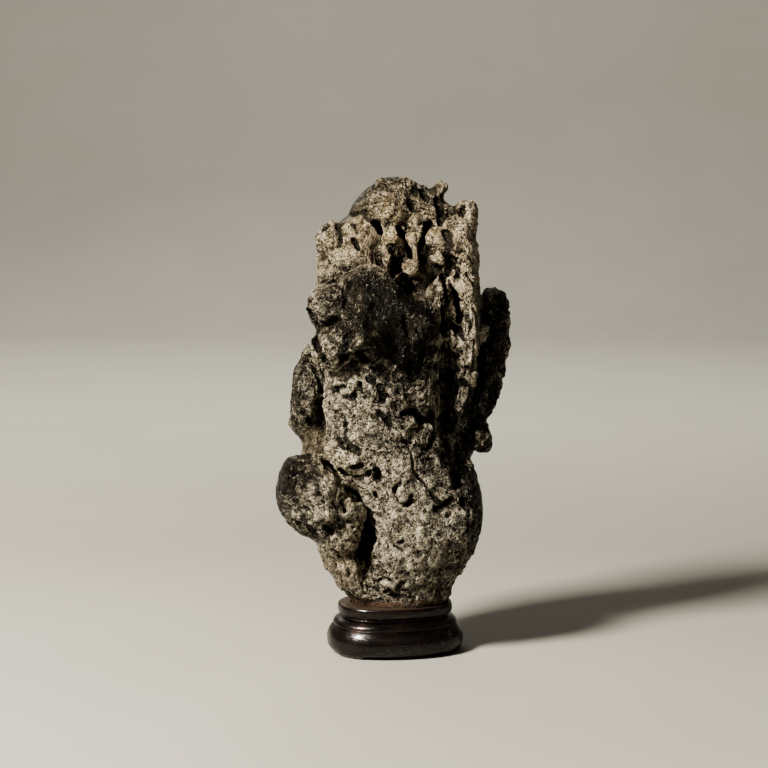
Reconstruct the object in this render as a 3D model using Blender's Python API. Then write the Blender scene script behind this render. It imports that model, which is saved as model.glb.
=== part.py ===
"""A small scholar's rock standing in its carved hardwood stand.

Two pieces: "stone", one weathered limestone, and "stand", turned in outline from one block
of dark wood, with a carved seat for the stone's foot and four low feet. The stone faces -Y.
The tables below are in millimetres, from the middle of the stand's underside, +Z up.
"""

import math
from collections import namedtuple

import bmesh
import bpy
import numpy as np
from mathutils import Euler, Vector, noise

MM = 0.001

# Driving dimensions, in millimetres.
STAND_HEIGHT = 15.5
LIP_LENGTH = 36.2
LIP_DEPTH = 27.6
STAND_TURN = math.radians(12.0)
OUTLINE_POWER = 2.3
SEAT_DEPTH = 3.0
SEAT_CENTRE = (1.3, 0.0)
SEAT_HALF = (15.6, 11.6)
SEAT_GAP = 0.4
FOOT_HEIGHT = 0.8

# The stone's skin is sampled on a grid of this step between these corners, then thinned to
# this many triangles.
GRID_STEP = 1.0
GRID_LOW = np.array([-42.0, -28.0, 8.0])
GRID_HIGH = np.array([44.0, 30.0, 156.0])
STONE_TRIANGLES = 8000
GROOVE_FILLET = 0.4

Lobe = namedtuple("Lobe", "centre radii turn blend")

# Swellings of the stone. turn is in degrees about X, Y and Z; blend is the width of the
# fillet where a lobe runs into those above it in the list.
LOBES = {
    # The front column, from the foot up to the boss on its top.
    "foot": Lobe((1.3, 0.5, 22), (17.0, 12.6, 16), (0, 0, 0), 3),
    "belly": Lobe((9.0, 1.0, 46), (18.8, 16.5, 25), (0, -4, 0), 5),
    "belly_front": Lobe((5.0, -7.5, 38), (13.0, 10.0, 18), (0, 6, 0), 5),
    "belly_side": Lobe((16.5, -5.5, 44.5), (7.5, 9.0, 12), (0, 10, 0), 3),
    "trunk": Lobe((-4.0, -2.0, 78), (18.5, 14.5, 36), (0, -4, 0), 6),
    "trunk_ridge": Lobe((-3.0, -11.5, 64), (7.5, 6.0, 22), (0, -22, 0), 5),
    "trunk_side": Lobe((7.5, -2.0, 84), (7.6, 9.0, 25), (0, -3, 0), 3),
    "boss": Lobe((-8.8, -10.5, 109), (11.8, 11.5, 13.8), (0, 4, 0), 2),
    "boss_ridge": Lobe((-9.6, -20.2, 112.5), (2.3, 2.5, 8.5), (-14, 4, 0), 1.2),
    "boss_side": Lobe((3.4, -6.5, 101.5), (10.4, 10.5, 13.5), (0, -16, 0), 4),
    "cheek": Lobe((-20.0, -10.5, 109), (7.0, 8.0, 8.0), (0, 15, 0), 1.0),
    "jowl": Lobe((-18.2, -11.0, 98.8), (8.0, 8.6, 8.8), (0, 24, 0), 1.0),
    "ear": Lobe((-11.4, -18.8, 99.6), (2.3, 3.2, 4.0), (0, 34, 0), 1.2),
    # The rear mass that rises above the column.
    "spine": Lobe((0.0, 8.0, 108), (20.0, 13.0, 27), (0, 0, 0), 5),
    "crown": Lobe((1.0, 7.5, 128), (18.4, 11.5, 22), (0, 4, 0), 3),
    "crown_brow": Lobe((-4.0, 2.0, 138.5), (11.5, 7.0, 7.0), (0, -40, 0), 2),
    "shoulder": Lobe((-13.5, 3.5, 125), (10.6, 10.5, 12.2), (0, 10, 0), 2),
    "shoulder_knob": Lobe((-19.8, 1.5, 130.5), (4.9, 6.4, 6.0), (0, 0, 0), 1.0),
    "flank": Lobe((-16.5, 3.0, 113), (9.6, 10.0, 14), (0, 6, 0), 3),
    "saddle": Lobe((13.0, 5.0, 129), (11.5, 9.0, 13), (0, 0, 0), 3),
    "saddle_rib": Lobe((-1.0, -1.5, 129), (3.4, 5.6, 8.5), (0, 8, 0), 1.6),
    "finger": Lobe((13.2, 6.5, 143), (2.4, 3.6, 6.4), (0, 9, 0), 1),
    "tongue": Lobe((6.3, -1.0, 130), (3.4, 5.4, 9.5), (-12, -2, 0), 1.4),
    "tongue_tip": Lobe((5.2, -5.0, 121.8), (3.2, 3.4, 3.0), (0, 20, 0), 1),
    # The wing down the right of the column.
    "head": Lobe((22.0, 3.0, 136), (4.8, 6.0, 7.3), (0, 6, 0), 1.5),
    "wing_top": Lobe((20.2, 2.0, 120), (7.4, 9.6, 18), (0, 3, 0), 2),
    "wing_crest": Lobe((12.9, -4.8, 111.5), (2.8, 5.6, 10), (0, 14, 0), 1.6),
    "wing_brow": Lobe((14.6, -3.6, 125.5), (3.6, 4.6, 3.2), (0, -20, 0), 1),
    "wing_rib": Lobe((23.2, -3.0, 109), (2.8, 5.5, 13), (0, -3, 0), 1.2),
    "wing_middle": Lobe((20.5, 1.5, 104), (6.4, 8.0, 16), (0, 5, 0), 2),
    "wing_low": Lobe((21.9, 0.5, 88), (3.9, 7.5, 18), (0, 4, 0), 2.5),
    "hook": Lobe((25.2, -2.5, 99.2), (1.8, 2.8, 5.6), (0, 40, 0), 1),
    "spur": Lobe((17.2, -5.0, 99.4), (2.0, 3.0, 1.8), (0, 0, 0), 1),
    # The thin dark fin behind the wing, with its knobbed edge.
    "rib": Lobe((20.0, 10.0, 84), (11.0, 9.0, 30), (0, 6, 0), 4),
    "fin": Lobe((29.6, 12.0, 90), (6.9, 5.0, 22.5), (0, 14, 0), 2),
    "fin_knob_1": Lobe((31.8, 12.5, 111), (4.4, 4.4, 3.6), (0, 0, 0), 0.8),
    "fin_knob_2": Lobe((35.2, 12.0, 104.4), (2.8, 3.6, 3.6), (0, 0, 0), 0.8),
    "fin_knob_3": Lobe((36.6, 12.0, 96.4), (1.9, 3.0, 2.2), (0, 0, 0), 0.8),
    "knob_right": Lobe((27.0, 6.5, 68), (3.8, 6.0, 6.4), (0, -6, 0), 1),
    # The left side: a crescent lobe, a narrow neck and the big knob on its stalk.
    "crescent": Lobe((-27.0, 5.5, 81.5), (6.8, 8.0, 16), (0, 9, 0), 1.5),
    "neck": Lobe((-22.0, 6.0, 65), (8.2, 7.5, 12), (0, 0, 0), 3),
    "knob": Lobe((-24.3, -7.5, 50), (12.4, 10.5, 14.2), (0, -14, 0), 2),
    "knob_cap": Lobe((-30.0, -9.5, 55.5), (6.2, 8.0, 8.4), (0, -10, 0), 1.6),
    "knob_nose": Lobe((-24.0, -15.0, 52), (6.4, 5.0, 9), (0, -20, 0), 1.6),
    "knob_low": Lobe((-16.4, -10.5, 45.5), (6.6, 6.4, 7.5), (0, 0, 0), 1.6),
    "stalk": Lobe((-16.2, -5.0, 29.5), (5.6, 8.5, 14), (0, -34, 0), 3),
    "stalk_top": Lobe((-18.0, -9.5, 37.5), (7.5, 6.5, 6.5), (0, -30, 0), 2.5),
    "web": Lobe((-12.0, 3.5, 42), (8.0, 6.5, 15), (0, -10, 0), 3),
    "shelf": Lobe((-13.0, -10.5, 63.8), (7.8, 6.5, 6.4), (0, 12, 0), 2.5),
    # The back.
    "back_low": Lobe((0.0, 8.0, 46), (19.0, 11.0, 24), (0, 8, 0), 4),
    "back_column": Lobe((-7.0, 13.0, 66), (9.0, 8.0, 34), (0, 9, 0), 3),
    "back_ridge": Lobe((7.0, 15.0, 98), (7.0, 7.5, 34), (0, -10, 0), 2.5),
    "back_lobe": Lobe((-14.0, 14.0, 92), (7.0, 6.5, 18), (0, 14, 0), 2),
    "back_brow": Lobe((-7.0, 15.0, 126), (10.0, 6.5, 9), (0, 26, 0), 2),
    "back_heel": Lobe((10.0, 15.5, 44), (10.0, 7.0, 13), (0, -24, 0), 2.5),
    "back_spur": Lobe((18.0, 15.0, 118), (4.6, 5.0, 12), (0, -12, 0), 1.2),
}

# Hollows cut into the stone after its lobes are joined, in the same form.
HOLLOWS = {
    "dusk_plane": Lobe((20.5, -36.0, 80), (28.0, 28.0, 34), (0, 0, 0), 4),
    "groove": Lobe((16.3, -9.0, 80), (2.6, 14.0, 20), (0, 3, 0), 1.2),
    "groove_foot": Lobe((20.6, -9.0, 64), (3.8, 10.0, 10), (0, 4, 0), 2),
    "cave": Lobe((4.8, -6.0, 115.6), (5.4, 7.0, 4.2), (0, 28, 0), 1),
    "slit_top": Lobe((-18.3, -13.0, 57.8), (1.4, 8.0, 6.4), (0, -42, 0), 1),
    "slit_middle": Lobe((-12.0, -14.5, 50.6), (1.5, 8.0, 5.4), (0, -46, 0), 1),
    "slit": Lobe((-7.8, -14.0, 41.4), (1.8, 9.5, 8.0), (0, -4, 0), 1),
    "slit_foot": Lobe((-9.0, -12.0, 30), (0.9, 4.5, 7), (0, 11, 0), 0.6),
    "crown_hole": Lobe((-5.3, -5.5, 133.4), (0.9, 5.0, 2.2), (0, -28, 0), 0.6),
    "crown_cut_left": Lobe((3.0, -6.0, 129.8), (0.5, 6.0, 5.0), (0, -22, 0), 0.5),
    "crown_cut_right": Lobe((9.4, -5.0, 131.5), (0.55, 6.5, 4.8), (0, 18, 0), 0.5),
    "under_rib": Lobe((0.4, -8.0, 121.6), (1.7, 5.5, 4.0), (0, -14, 0), 0.6),
    "crown_dish": Lobe((-6.5, -8.5, 141), (2.6, 4.0, 4.0), (0, 40, 0), 1.2),
    "shoulder_pit": Lobe((-11.6, -10.5, 128.8), (0.9, 3.2, 2.4), (0, -30, 0), 0.6),
    "wing_slot": Lobe((18.8, -8.0, 111.8), (1.1, 6.5, 6.0), (0, -14, 0), 0.6),
    "wing_slot_left": Lobe((15.4, -8.5, 115), (0.8, 6.0, 5.5), (0, -8, 0), 0.6),
    "wing_dip": Lobe((20.5, -9.0, 128), (3.0, 4.0, 5.0), (0, 30, 0), 1.5),
    "fin_gap": Lobe((27.4, 1.0, 92), (2.2, 9.0, 17), (0, 12, 0), 1),
    "neck_hollow": Lobe((-31.6, -1.0, 66), (3.4, 9.0, 4.2), (0, 0, 0), 1.5),
    "back_valley": Lobe((1.0, 24.0, 78), (3.6, 9.0, 26), (0, 4, 0), 1.5),
    "back_cave": Lobe((13.0, 19.0, 68), (5.0, 8.0, 9), (0, 24, 0), 1.5),
    "back_slot": Lobe((-8.0, 22.0, 108), (2.2, 8.0, 12), (0, 22, 0), 1),
    "back_pocket": Lobe((-14.0, 18.0, 58), (5.0, 6.0, 9), (0, 20, 0), 1.5),
    "back_notch": Lobe((13.5, 17.5, 136), (3.4, 7.0, 9), (0, -16, 0), 1.2),
}

Groove = namedtuple("Groove", "radius depth path")
Lump = namedtuple("Lump", "radius out place")

# Creases, slots and pits of the front, each cut with a ball of this radius, sunk to this
# depth and drawn along a path. Places are across and up, on the skin as seen from -Y.
GROOVES = {
    "cheek_foot": Groove(1, 0.6, (
        (-26.5, 108.5), (-25.5, 106.5), (-23.5, 105), (-21, 105), (-18.5, 106.5)
    )),
    "cheek_edge": Groove(0.9, 0.5, (
        (-22.5, 116), (-19.5, 117.2), (-16.5, 116), (-15, 112.5), (-16, 108.5)
    )),
    "jowl_edge": Groove(1, 0.8, (
        (-25, 100.5), (-24, 97), (-22, 94), (-19.5, 92), (-17, 92.5), (-15.5, 94.5)
    )),
    "ear_hole": Groove(1.1, 1.0, ((-11, 95.5), (-9.5, 94))),
    "trunk_ledge": Groove(0.9, 0.4, (
        (-15.5, 85.5), (-18, 84.5), (-16, 82), (-13, 82.5), (-11.5, 85)
    )),
    "trunk_pit": Groove(1.1, 0.5, ((-11, 86.5), (-11, 84.5))),
    "trunk_pit_2": Groove(0.9, 0.3, ((-8, 88.5), (-7, 87.5))),
    "dusk_cup": Groove(0.9, 0.3, ((6.5, 67), (10, 65.5), (11.5, 68.5), (12.5, 71.5), (11, 76))),
    "belly_lump": Groove(0.9, 0.3, ((21, 50), (23, 45.5), (22.5, 40.5), (20.5, 37.5))),
    "pit_high": Groove(1.1, 1, ((-6, 59.5), (-6, 58))),
    "pit_low": Groove(0.9, 0.6, ((-6, 52.5), (-6, 51.5))),
    "shelf_edge": Groove(0.9, 0.4, ((-17, 59.5), (-15, 57.5), (-12, 57.5), (-8, 58.5))),
    "slit_top": Groove(1.1, 2, ((-22, 61.5), (-20.5, 59.5), (-18.5, 57))),
    "slit": Groove(1.7, 4, (
        (-15.5, 55.5), (-14.5, 52.5), (-12.5, 49.5), (-10, 48), (-8.5, 44), (-8.5, 38),
        (-9, 33.5)
    )),
    "foot_pit": Groove(0.9, 0.4, ((-4.5, 24.5), (-3, 25.5), (-1.5, 25))),
    "foot_pit_2": Groove(1, 0.5, ((-3, 20.5), (-2, 22), (-0.5, 19.5))),
    "knob_pit": Groove(1.1, 0.3, ((-27.5, 48.5), (-25, 46.5))),
    "knob_pit_2": Groove(1.1, 0.3, ((-17, 50), (-15.5, 47))),
    "knob_pit_3": Groove(0.9, 0.2, ((-21.5, 42), (-19.5, 40))),
    "knob_pit_4": Groove(0.9, 0.2, ((-27, 42), (-25, 39.5))),
    "shoulder_pit": Groove(0.9, 0.6, ((-13, 130.5), (-11.5, 127.5))),
    "crown_hole": Groove(0.9, 2, ((-6, 134.8), (-4.8, 132.5))),
    "crown_hole_lip": Groove(0.9, 0.1, ((-9.5, 137.2), (-7.8, 136.4), (-6, 134.8))),
    "slot_left": Groove(0.8, 2.5, ((2, 132.5), (3.5, 128), (5, 124.5))),
    "slot_right": Groove(0.8, 2.5, ((10, 135), (8.5, 131), (7.5, 127.5))),
    "slot_right_foot": Groove(0.9, 1, ((7.5, 127.5), (8.5, 123.5), (7.5, 120.5))),
    "tongue_edge": Groove(1, 1.5, ((2.5, 118), (4.5, 117.5), (7, 119))),
    "cave_roof": Groove(1, 3, ((0, 124), (-0.5, 120))),
    "cave_roof_2": Groove(0.9, 0.1, ((-2.5, 128), (-1, 127.5), (0, 125.5))),
    "arch": Groove(0.9, 0.5, (
        (11.5, 126.5), (13.5, 128), (15.5, 126.5), (17.5, 124), (16.5, 121), (15.5, 119.5)
    )),
    "slot_a": Groove(1, 1.5, ((14, 119.5), (15.5, 115), (14.5, 110.5), (14.5, 106), (15, 101.5))),
    "slot_b": Groove(1.2, 4, ((17.5, 116.5), (19, 114), (20, 110.5))),
    "slot_b_foot": Groove(0.9, 1, ((20, 110.5), (20, 107), (19.5, 105))),
    "crown_pits": Groove(0.9, 0.4, ((4.5, 142), (5, 140))),
}

# Small lumps of the front: the radius of a ball and how far it stands out of the skin.
LUMPS = {
    "cheek_bulb": Lump(4.2, 1.6, (-20, 112)),
    "cheek_side": Lump(4, 0.8, (-24, 111)),
    "jowl_point": Lump(4.2, 1.2, (-19.5, 97.5)),
    "boss_light": Lump(2.8, 0.5, (-10, 117)),
    "boss_light_2": Lump(2.6, 0.5, (-9, 112)),
    "boss_left": Lump(3.4, 0.6, (-14.5, 115)),
    "nose": Lump(4.6, 0.8, (-25, 53.5)),
    "nose_top": Lump(2.6, 0.9, (-29, 57)),
    "nose_side": Lump(2.8, 0.6, (-32.5, 51.5)),
    "knob_right": Lump(2.6, 0.8, (-20.5, 47)),
    "knob_corner": Lump(2.4, 0.9, (-14, 47)),
    "knob_foot": Lump(2.8, 0.8, (-15, 41.5)),
    "knob_chin": Lump(3, 0.6, (-23, 41)),
    "shelf_1": Lump(2.6, 0.8, (-19, 66)),
    "shelf_2": Lump(3, 1, (-13.5, 62.5)),
    "dusk_lump": Lump(3.2, 0.9, (8.5, 71)),
    "dusk_lump_2": Lump(2.8, 0.7, (4, 74)),
    "belly_side": Lump(3, 0.8, (21.5, 45)),
    "trunk_1": Lump(2.6, 0.8, (-8, 85)),
    "trunk_3": Lump(3.6, 0.6, (-11.5, 71.5)),
    "arch_lump": Lump(2.6, 0.8, (12.5, 124.5)),
    "crown_lump": Lump(3, 0.6, (3.5, 147.5)),
    "shoulder_lump": Lump(4, 0.6, (-13.5, 133.5)),
}

# How the rims of the hollows are rumpled: amount in millimetres, waves per millimetre, the
# order of the axes and where each wave starts.
RUMPLES = (
    (0.6, 0.9, (1, 2, 0), (0.3, 1.9, 4.1)),
    (0.25, 2.1, (2, 0, 1), (2.2, 0.7, 3.3)),
)

# Weathering of the whole skin: the size of its nodules and the height of each layer.
NODULES = ((11.0, 1.8), (5.4, 1.3))
SWELL = (24.0, 1.2)
WEATHER_SEED = Vector((3.7, 8.1, 5.3))

Patch = namedtuple("Patch", "centre radii amount")

# How much deeper the weathering bites in places: rugged on the wing and the crown, slight
# where the stone is worn smooth.
RUGGED = (
    Patch((20.0, -4.0, 104), (14.0, 16.0, 34), 0.6),
    Patch((27.0, 2.0, 46), (8.0, 16.0, 20), -1.0),
    Patch((4.0, -6.0, 132), (20.0, 14.0, 18), 0.5),
    Patch((-6.0, -16.0, 111), (20.0, 14.0, 16), -1.3),
    Patch((-10.0, 10.0, 144), (20.0, 14.0, 14), -1.2),
    Patch((-30.0, -10.0, 56), (13.0, 14.0, 14), -1.0),
    Patch((-27.0, 2.0, 66), (9.0, 12.0, 8), -1.3),
)

# The stand's side, from the underside up: how far it stands out from the lip, and its height.
STAND_PROFILE = (
    (1.8, 0.0), (2.9, 0.7), (3.5, 2.4), (3.55, 4.6), (3.0, 6.6), (1.9, 8.3), (1.5, 8.7),
    (1.5, 9.2), (0.7, 10.7), (-0.9, 11.5), (-1.0, 12.0), (-0.1, 12.5), (0.0, 13.8),
    (-0.3, 15.1), (-1.0, 15.5),
)
STAND_SIDES = 44
ARCH_LENGTH = 26.0
ARCH_DEPTH = 13.0


def clear_scene():
    for old in list(bpy.data.objects):
        bpy.data.objects.remove(old)


def material(name, colour, roughness):
    made = bpy.data.materials.new(name)
    made.use_nodes = True
    shader = made.node_tree.nodes["Principled BSDF"]
    shader.inputs["Base Color"].default_value = (*colour, 1)
    shader.inputs["Roughness"].default_value = roughness
    shader.inputs["Metallic"].default_value = 0.0
    return made


def distance_to(lobe, points):
    """About how far each point is outside an ellipsoid, below 0 inside it."""
    turn = np.array(Euler([math.radians(a) for a in lobe.turn]).to_matrix())
    local = (points - lobe.centre) @ turn
    radii = np.array(lobe.radii)
    level = np.linalg.norm(local / radii, axis=-1)
    slope = np.linalg.norm(local / radii**2, axis=-1)
    return level * (level - 1) / np.maximum(slope, 1e-6)


def rumpled(points, hollow):
    """Points moved about a little, so that the hollow cut there has an uneven rim."""
    least = min(hollow.radii)
    share = min(1, 3 / least, least / 2)
    moved = points
    for amount, waves, order, start in RUMPLES:
        moved = moved + share * amount * np.sin(waves * points[..., order] + np.array(start))
    return moved


def joined(first, second, blend):
    """The nearer of two distances, with a fillet of this width between them."""
    share = np.clip(0.5 + 0.5 * (second - first) / blend, 0, 1)
    return second + (first - second) * share - blend * share * (1 - share)


def foot_plug(points):
    """The seat's outline, which the stone's foot keeps inside, opening out above the lip."""
    x = np.abs(points[..., 0] - SEAT_CENTRE[0]) / (SEAT_HALF[0] - SEAT_GAP)
    y = np.abs(points[..., 1] - SEAT_CENTRE[1]) / (SEAT_HALF[1] - SEAT_GAP)
    around = (x**OUTLINE_POWER + y**OUTLINE_POWER) ** (1 / OUTLINE_POWER)
    above = np.maximum(points[..., 2] - STAND_HEIGHT - SEAT_GAP, 0)
    return (around - 1) * min(SEAT_HALF) - 2.5 * above


def grid_points(window):
    """The grid's points in a window of three slices, in millimetres."""
    axes = [GRID_LOW[i] + np.arange(w.start, w.stop) * GRID_STEP for i, w in enumerate(window)]
    return np.stack(np.meshgrid(*axes, indexing="ij"), axis=-1)


def ball_into(field, centre, radius, blend, hollow):
    """Joins a ball to the stone, or cuts it out of the stone."""
    reach = radius + blend + GRID_STEP
    low = np.floor((centre - reach - GRID_LOW) / GRID_STEP).astype(int)
    high = np.ceil((centre + reach - GRID_LOW) / GRID_STEP).astype(int)
    window = tuple(slice(max(a, 0), b) for a, b in zip(low, high))
    near = np.linalg.norm(grid_points(window) - centre, axis=-1) - radius
    if hollow:
        field[window] = -joined(-field[window], near, blend)
    else:
        field[window] = joined(field[window], near, blend)


def skin_ahead(field, across, up):
    """The point where a line going back from the front first meets the stone."""
    i, k = ((np.array([across, up]) - GRID_LOW[[0, 2]]) / GRID_STEP).round().astype(int)
    inside = np.flatnonzero(field[i, :, k] < 0)
    if len(inside) == 0:
        return None
    return np.array([across, GRID_LOW[1] + inside[0] * GRID_STEP, up])


def add_lumps(field):
    for lump in LUMPS.values():
        skin = skin_ahead(field, *lump.place)
        if skin is not None:
            centre = skin + np.array([0, lump.radius - lump.out, 0])
            ball_into(field, centre, lump.radius, 0.5 * lump.radius, False)


def groove_balls(field):
    """The places of the balls that cut the grooves, on the skin before any is cut."""
    balls = []
    for groove in GROOVES.values():
        for start, end in zip(groove.path, (*groove.path[1:], groove.path[-1])):
            start, end = np.array(start), np.array(end)
            steps = max(1, math.ceil(np.linalg.norm(end - start) / (0.4 * groove.radius)))
            for step in range(steps):
                skin = skin_ahead(field, *(start + (end - start) * step / steps))
                if skin is not None:
                    balls.append((skin, groove))
    return balls


def cut_grooves(field):
    for skin, groove in groove_balls(field):
        layers = 1 + math.ceil(groove.depth / groove.radius)
        for sunk in np.linspace(0, groove.depth, layers):
            ball_into(field, skin + np.array([0, sunk, 0]), groove.radius, GROOVE_FILLET, True)


def stone_field():
    """The stone on the grid: below 0 inside it."""
    counts = np.ceil((GRID_HIGH - GRID_LOW) / GRID_STEP).astype(int)
    points = grid_points([slice(0, n) for n in counts])
    field = np.full(counts, 1e3)
    for lobe in LOBES.values():
        field = joined(field, distance_to(lobe, points), lobe.blend)
    for hollow in HOLLOWS.values():
        near = distance_to(hollow, rumpled(points, hollow))
        field = -joined(-field, near, hollow.blend)
    add_lumps(field)
    cut_grooves(field)
    field = np.maximum(field, foot_plug(points))
    seat = STAND_HEIGHT - SEAT_DEPTH + SEAT_GAP
    return np.maximum(field, seat - points[..., 2])


def skin_of(values):
    """Vertices, in grid steps, and quads of the surface where the values change sign.

    Each grid cell that the surface crosses gets one vertex, at the mean of the crossings on
    its edges, and each crossed edge gets one quad, through the four cells around it.
    """
    cells = tuple(n - 1 for n in values.shape)
    sums = np.zeros((*cells, 3))
    counts = np.zeros(cells)
    rings = []
    for axis in range(3):
        across, along = (axis + 1) % 3, (axis + 2) % 3
        first = np.delete(values, -1, axis)
        second = np.delete(values, 0, axis)
        edges = np.argwhere((first < 0) != (second < 0))
        before = first[tuple(edges.T)]
        after = second[tuple(edges.T)]
        crossing = edges.astype(float)
        crossing[:, axis] += before / (before - after)
        ring = []
        for low_across, low_along in ((1, 1), (0, 1), (0, 0), (1, 0)):
            cell = edges.copy()
            cell[:, across] -= low_across
            cell[:, along] -= low_along
            np.add.at(sums, tuple(cell.T), crossing)
            np.add.at(counts, tuple(cell.T), 1)
            ring.append(np.ravel_multi_index(tuple(cell.T), cells))
        ring = np.stack(ring, axis=1)
        rings.append(np.where((before < 0)[:, None], ring, ring[:, ::-1]))
    used = np.flatnonzero(counts)
    number = np.full(counts.size, -1)
    number[used] = np.arange(len(used))
    vertices = sums.reshape(-1, 3)[used] / counts.reshape(-1, 1)[used]
    return vertices, number[np.concatenate(rings)]


def ruggedness(point):
    """The depth of the weathering at a point, as a share of its usual depth."""
    total = 1.0
    for patch in RUGGED:
        away = Vector((p - c) / r for p, c, r in zip(point, patch.centre, patch.radii))
        total += patch.amount * max(0, 1 - away.length)
    return min(max(total, 0.2), 2)


def weathering(point):
    """How far the skin stands out at a point: rounded nodules on a slow swell."""
    place = point + WEATHER_SEED
    size, height = SWELL
    rise = height * noise.noise(place / size)
    for size, height in NODULES:
        nearest = noise.voronoi(place / size)[0][0]
        rise += height * (0.45 - nearest)
    return rise


def stone_mesh():
    """The stone as one closed skin, its nodules raised above the height of the lip."""
    vertices, quads = skin_of(stone_field())
    mesh = bpy.data.meshes.new("stone")
    mesh.from_pydata(GRID_LOW + vertices * GRID_STEP, [], quads.tolist())
    mesh.update()
    normals = [vertex.normal.copy() for vertex in mesh.vertices]
    for vertex, normal in zip(mesh.vertices, normals):
        clear_of_seat = min(max((vertex.co.z - STAND_HEIGHT - 1) / 4, 0), 1)
        depth = ruggedness(vertex.co) * clear_of_seat
        vertex.co += normal * weathering(vertex.co) * depth
    scale_to_metres(mesh)
    return mesh


def scale_to_metres(mesh):
    for vertex in mesh.vertices:
        vertex.co *= MM


def make_stone(finish):
    stone = bpy.data.objects.new("stone", stone_mesh())
    bpy.context.scene.collection.objects.link(stone)
    closed = stone.modifiers.new("one closed skin", "REMESH")
    closed.mode = "VOXEL"
    closed.voxel_size = 0.9 * GRID_STEP * MM
    bpy.context.view_layer.update()
    graph = bpy.context.evaluated_depsgraph_get()
    faces = sum(len(p.vertices) - 2 for p in stone.evaluated_get(graph).data.polygons)
    thinned = stone.modifiers.new("thinned", "DECIMATE")
    thinned.ratio = STONE_TRIANGLES / faces
    stone.data.materials.append(finish)
    return stone


def outline(half_length, half_depth, height, sides):
    """Points round a full oval, squarer than an ellipse."""
    points = []
    for i in range(sides):
        angle = 2 * math.pi * i / sides
        x, y = math.cos(angle), math.sin(angle)
        reach = (abs(x) ** OUTLINE_POWER + abs(y) ** OUTLINE_POWER) ** (-1 / OUTLINE_POWER)
        points.append((half_length * x * reach, half_depth * y * reach, height))
    return points


def add_ring(form, points, centre=(0, 0)):
    return [
        form.verts.new(((x + centre[0]) * MM, (y + centre[1]) * MM, z * MM)) for x, y, z in points
    ]


def bridge(form, lower, upper):
    """Quads between two rings that run the same way, facing out where upper is above lower."""
    for i in range(len(lower)):
        j = (i + 1) % len(lower)
        form.faces.new((lower[i], lower[j], upper[j], upper[i]))


def stand_blank():
    """The stand as one solid of ovals stacked up its profile, with the seat sunk in its top."""
    form = bmesh.new()
    rings = [
        add_ring(
            form, outline(LIP_LENGTH / 2 + out, LIP_DEPTH / 2 + out, height, STAND_SIDES)
        )
        for out, height in STAND_PROFILE
    ]
    # The seat follows the stone's foot, which stands straight on a stand turned under it.
    for height in (STAND_HEIGHT, STAND_HEIGHT - SEAT_DEPTH):
        seat = turned(outline(*SEAT_HALF, height, STAND_SIDES), SEAT_CENTRE, -STAND_TURN)
        rings.append(add_ring(form, seat))
    for lower, upper in zip(rings, rings[1:]):
        bridge(form, lower, upper)
    form.faces.new(rings[-1])
    form.faces.new(reversed(rings[0]))
    mesh = bpy.data.meshes.new("stand")
    form.to_mesh(mesh)
    form.free()
    return mesh


def turned(points, centre, angle):
    """Points moved to a centre, then turned about the upright axis."""
    cos, sin = math.cos(angle), math.sin(angle)
    moved = []
    for x, y, z in points:
        x, y = x + centre[0], y + centre[1]
        moved.append((x * cos - y * sin, x * sin + y * cos, z))
    return moved


def arch_cutter(name, half_x, half_y):
    """A low box across the underside, its long edges bevelled, which leaves the feet between."""
    form = bmesh.new()
    bmesh.ops.create_cube(form, size=1)
    for vertex in form.verts:
        vertex.co.x *= 2 * half_x * MM
        vertex.co.y *= 2 * half_y * MM
        vertex.co.z = (FOOT_HEIGHT if vertex.co.z > 0 else -2) * MM
    top = [e for e in form.edges if all(v.co.z > 0 for v in e.verts)]
    bmesh.ops.bevel(form, geom=top, offset=0.6 * FOOT_HEIGHT * MM, segments=2, affect="EDGES")
    mesh = bpy.data.meshes.new(name)
    form.to_mesh(mesh)
    form.free()
    cutter = bpy.data.objects.new(name, mesh)
    cutter.hide_render = True
    cutter.display_type = "WIRE"
    bpy.context.scene.collection.objects.link(cutter)
    return cutter


def make_stand(finish):
    stand = bpy.data.objects.new("stand", stand_blank())
    bpy.context.scene.collection.objects.link(stand)
    for cutter in (
        arch_cutter("arch_front_to_back", ARCH_LENGTH / 2, LIP_DEPTH),
        arch_cutter("arch_side_to_side", LIP_LENGTH, ARCH_DEPTH / 2),
    ):
        cutter.parent = stand
        cut = stand.modifiers.new(cutter.name, "BOOLEAN")
        cut.operation = "DIFFERENCE"
        cut.object = cutter
    stand.rotation_euler.z = STAND_TURN
    stand.data.materials.append(finish)
    stand.data.shade_smooth()
    stand.data.set_sharp_from_angle(angle=math.radians(40))
    return stand


def put_origin_under_the_middle(pieces):
    """Moves the pieces together, so that the origin is the middle of their box's underside."""
    bpy.context.view_layer.update()
    graph = bpy.context.evaluated_depsgraph_get()
    corners = []
    for piece in pieces:
        seen = piece.evaluated_get(graph)
        matrix = np.array(seen.matrix_world)
        points = np.array([v.co for v in seen.data.vertices])
        corners.append(points @ matrix[:3, :3].T + matrix[:3, 3])
    corners = np.concatenate(corners)
    middle = (corners.min(axis=0) + corners.max(axis=0)) / 2
    for piece in pieces:
        piece.location -= Vector((middle[0], middle[1], corners[:, 2].min()))


def main():
    clear_scene()
    stone = make_stone(material("weathered limestone", (0.20, 0.18, 0.14), 0.75))
    stand = make_stand(material("dark rosewood", (0.035, 0.014, 0.010), 0.3))
    put_origin_under_the_middle((stone, stand))


main()
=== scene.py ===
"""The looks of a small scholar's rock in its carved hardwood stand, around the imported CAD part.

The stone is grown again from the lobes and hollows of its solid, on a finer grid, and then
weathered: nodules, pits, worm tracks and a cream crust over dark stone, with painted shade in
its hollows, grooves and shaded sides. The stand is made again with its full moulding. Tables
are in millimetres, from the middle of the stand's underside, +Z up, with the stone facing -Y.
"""

import math
from collections import namedtuple

import bmesh
import bpy
import numpy as np
from mathutils import Euler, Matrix, Vector, kdtree, noise


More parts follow.
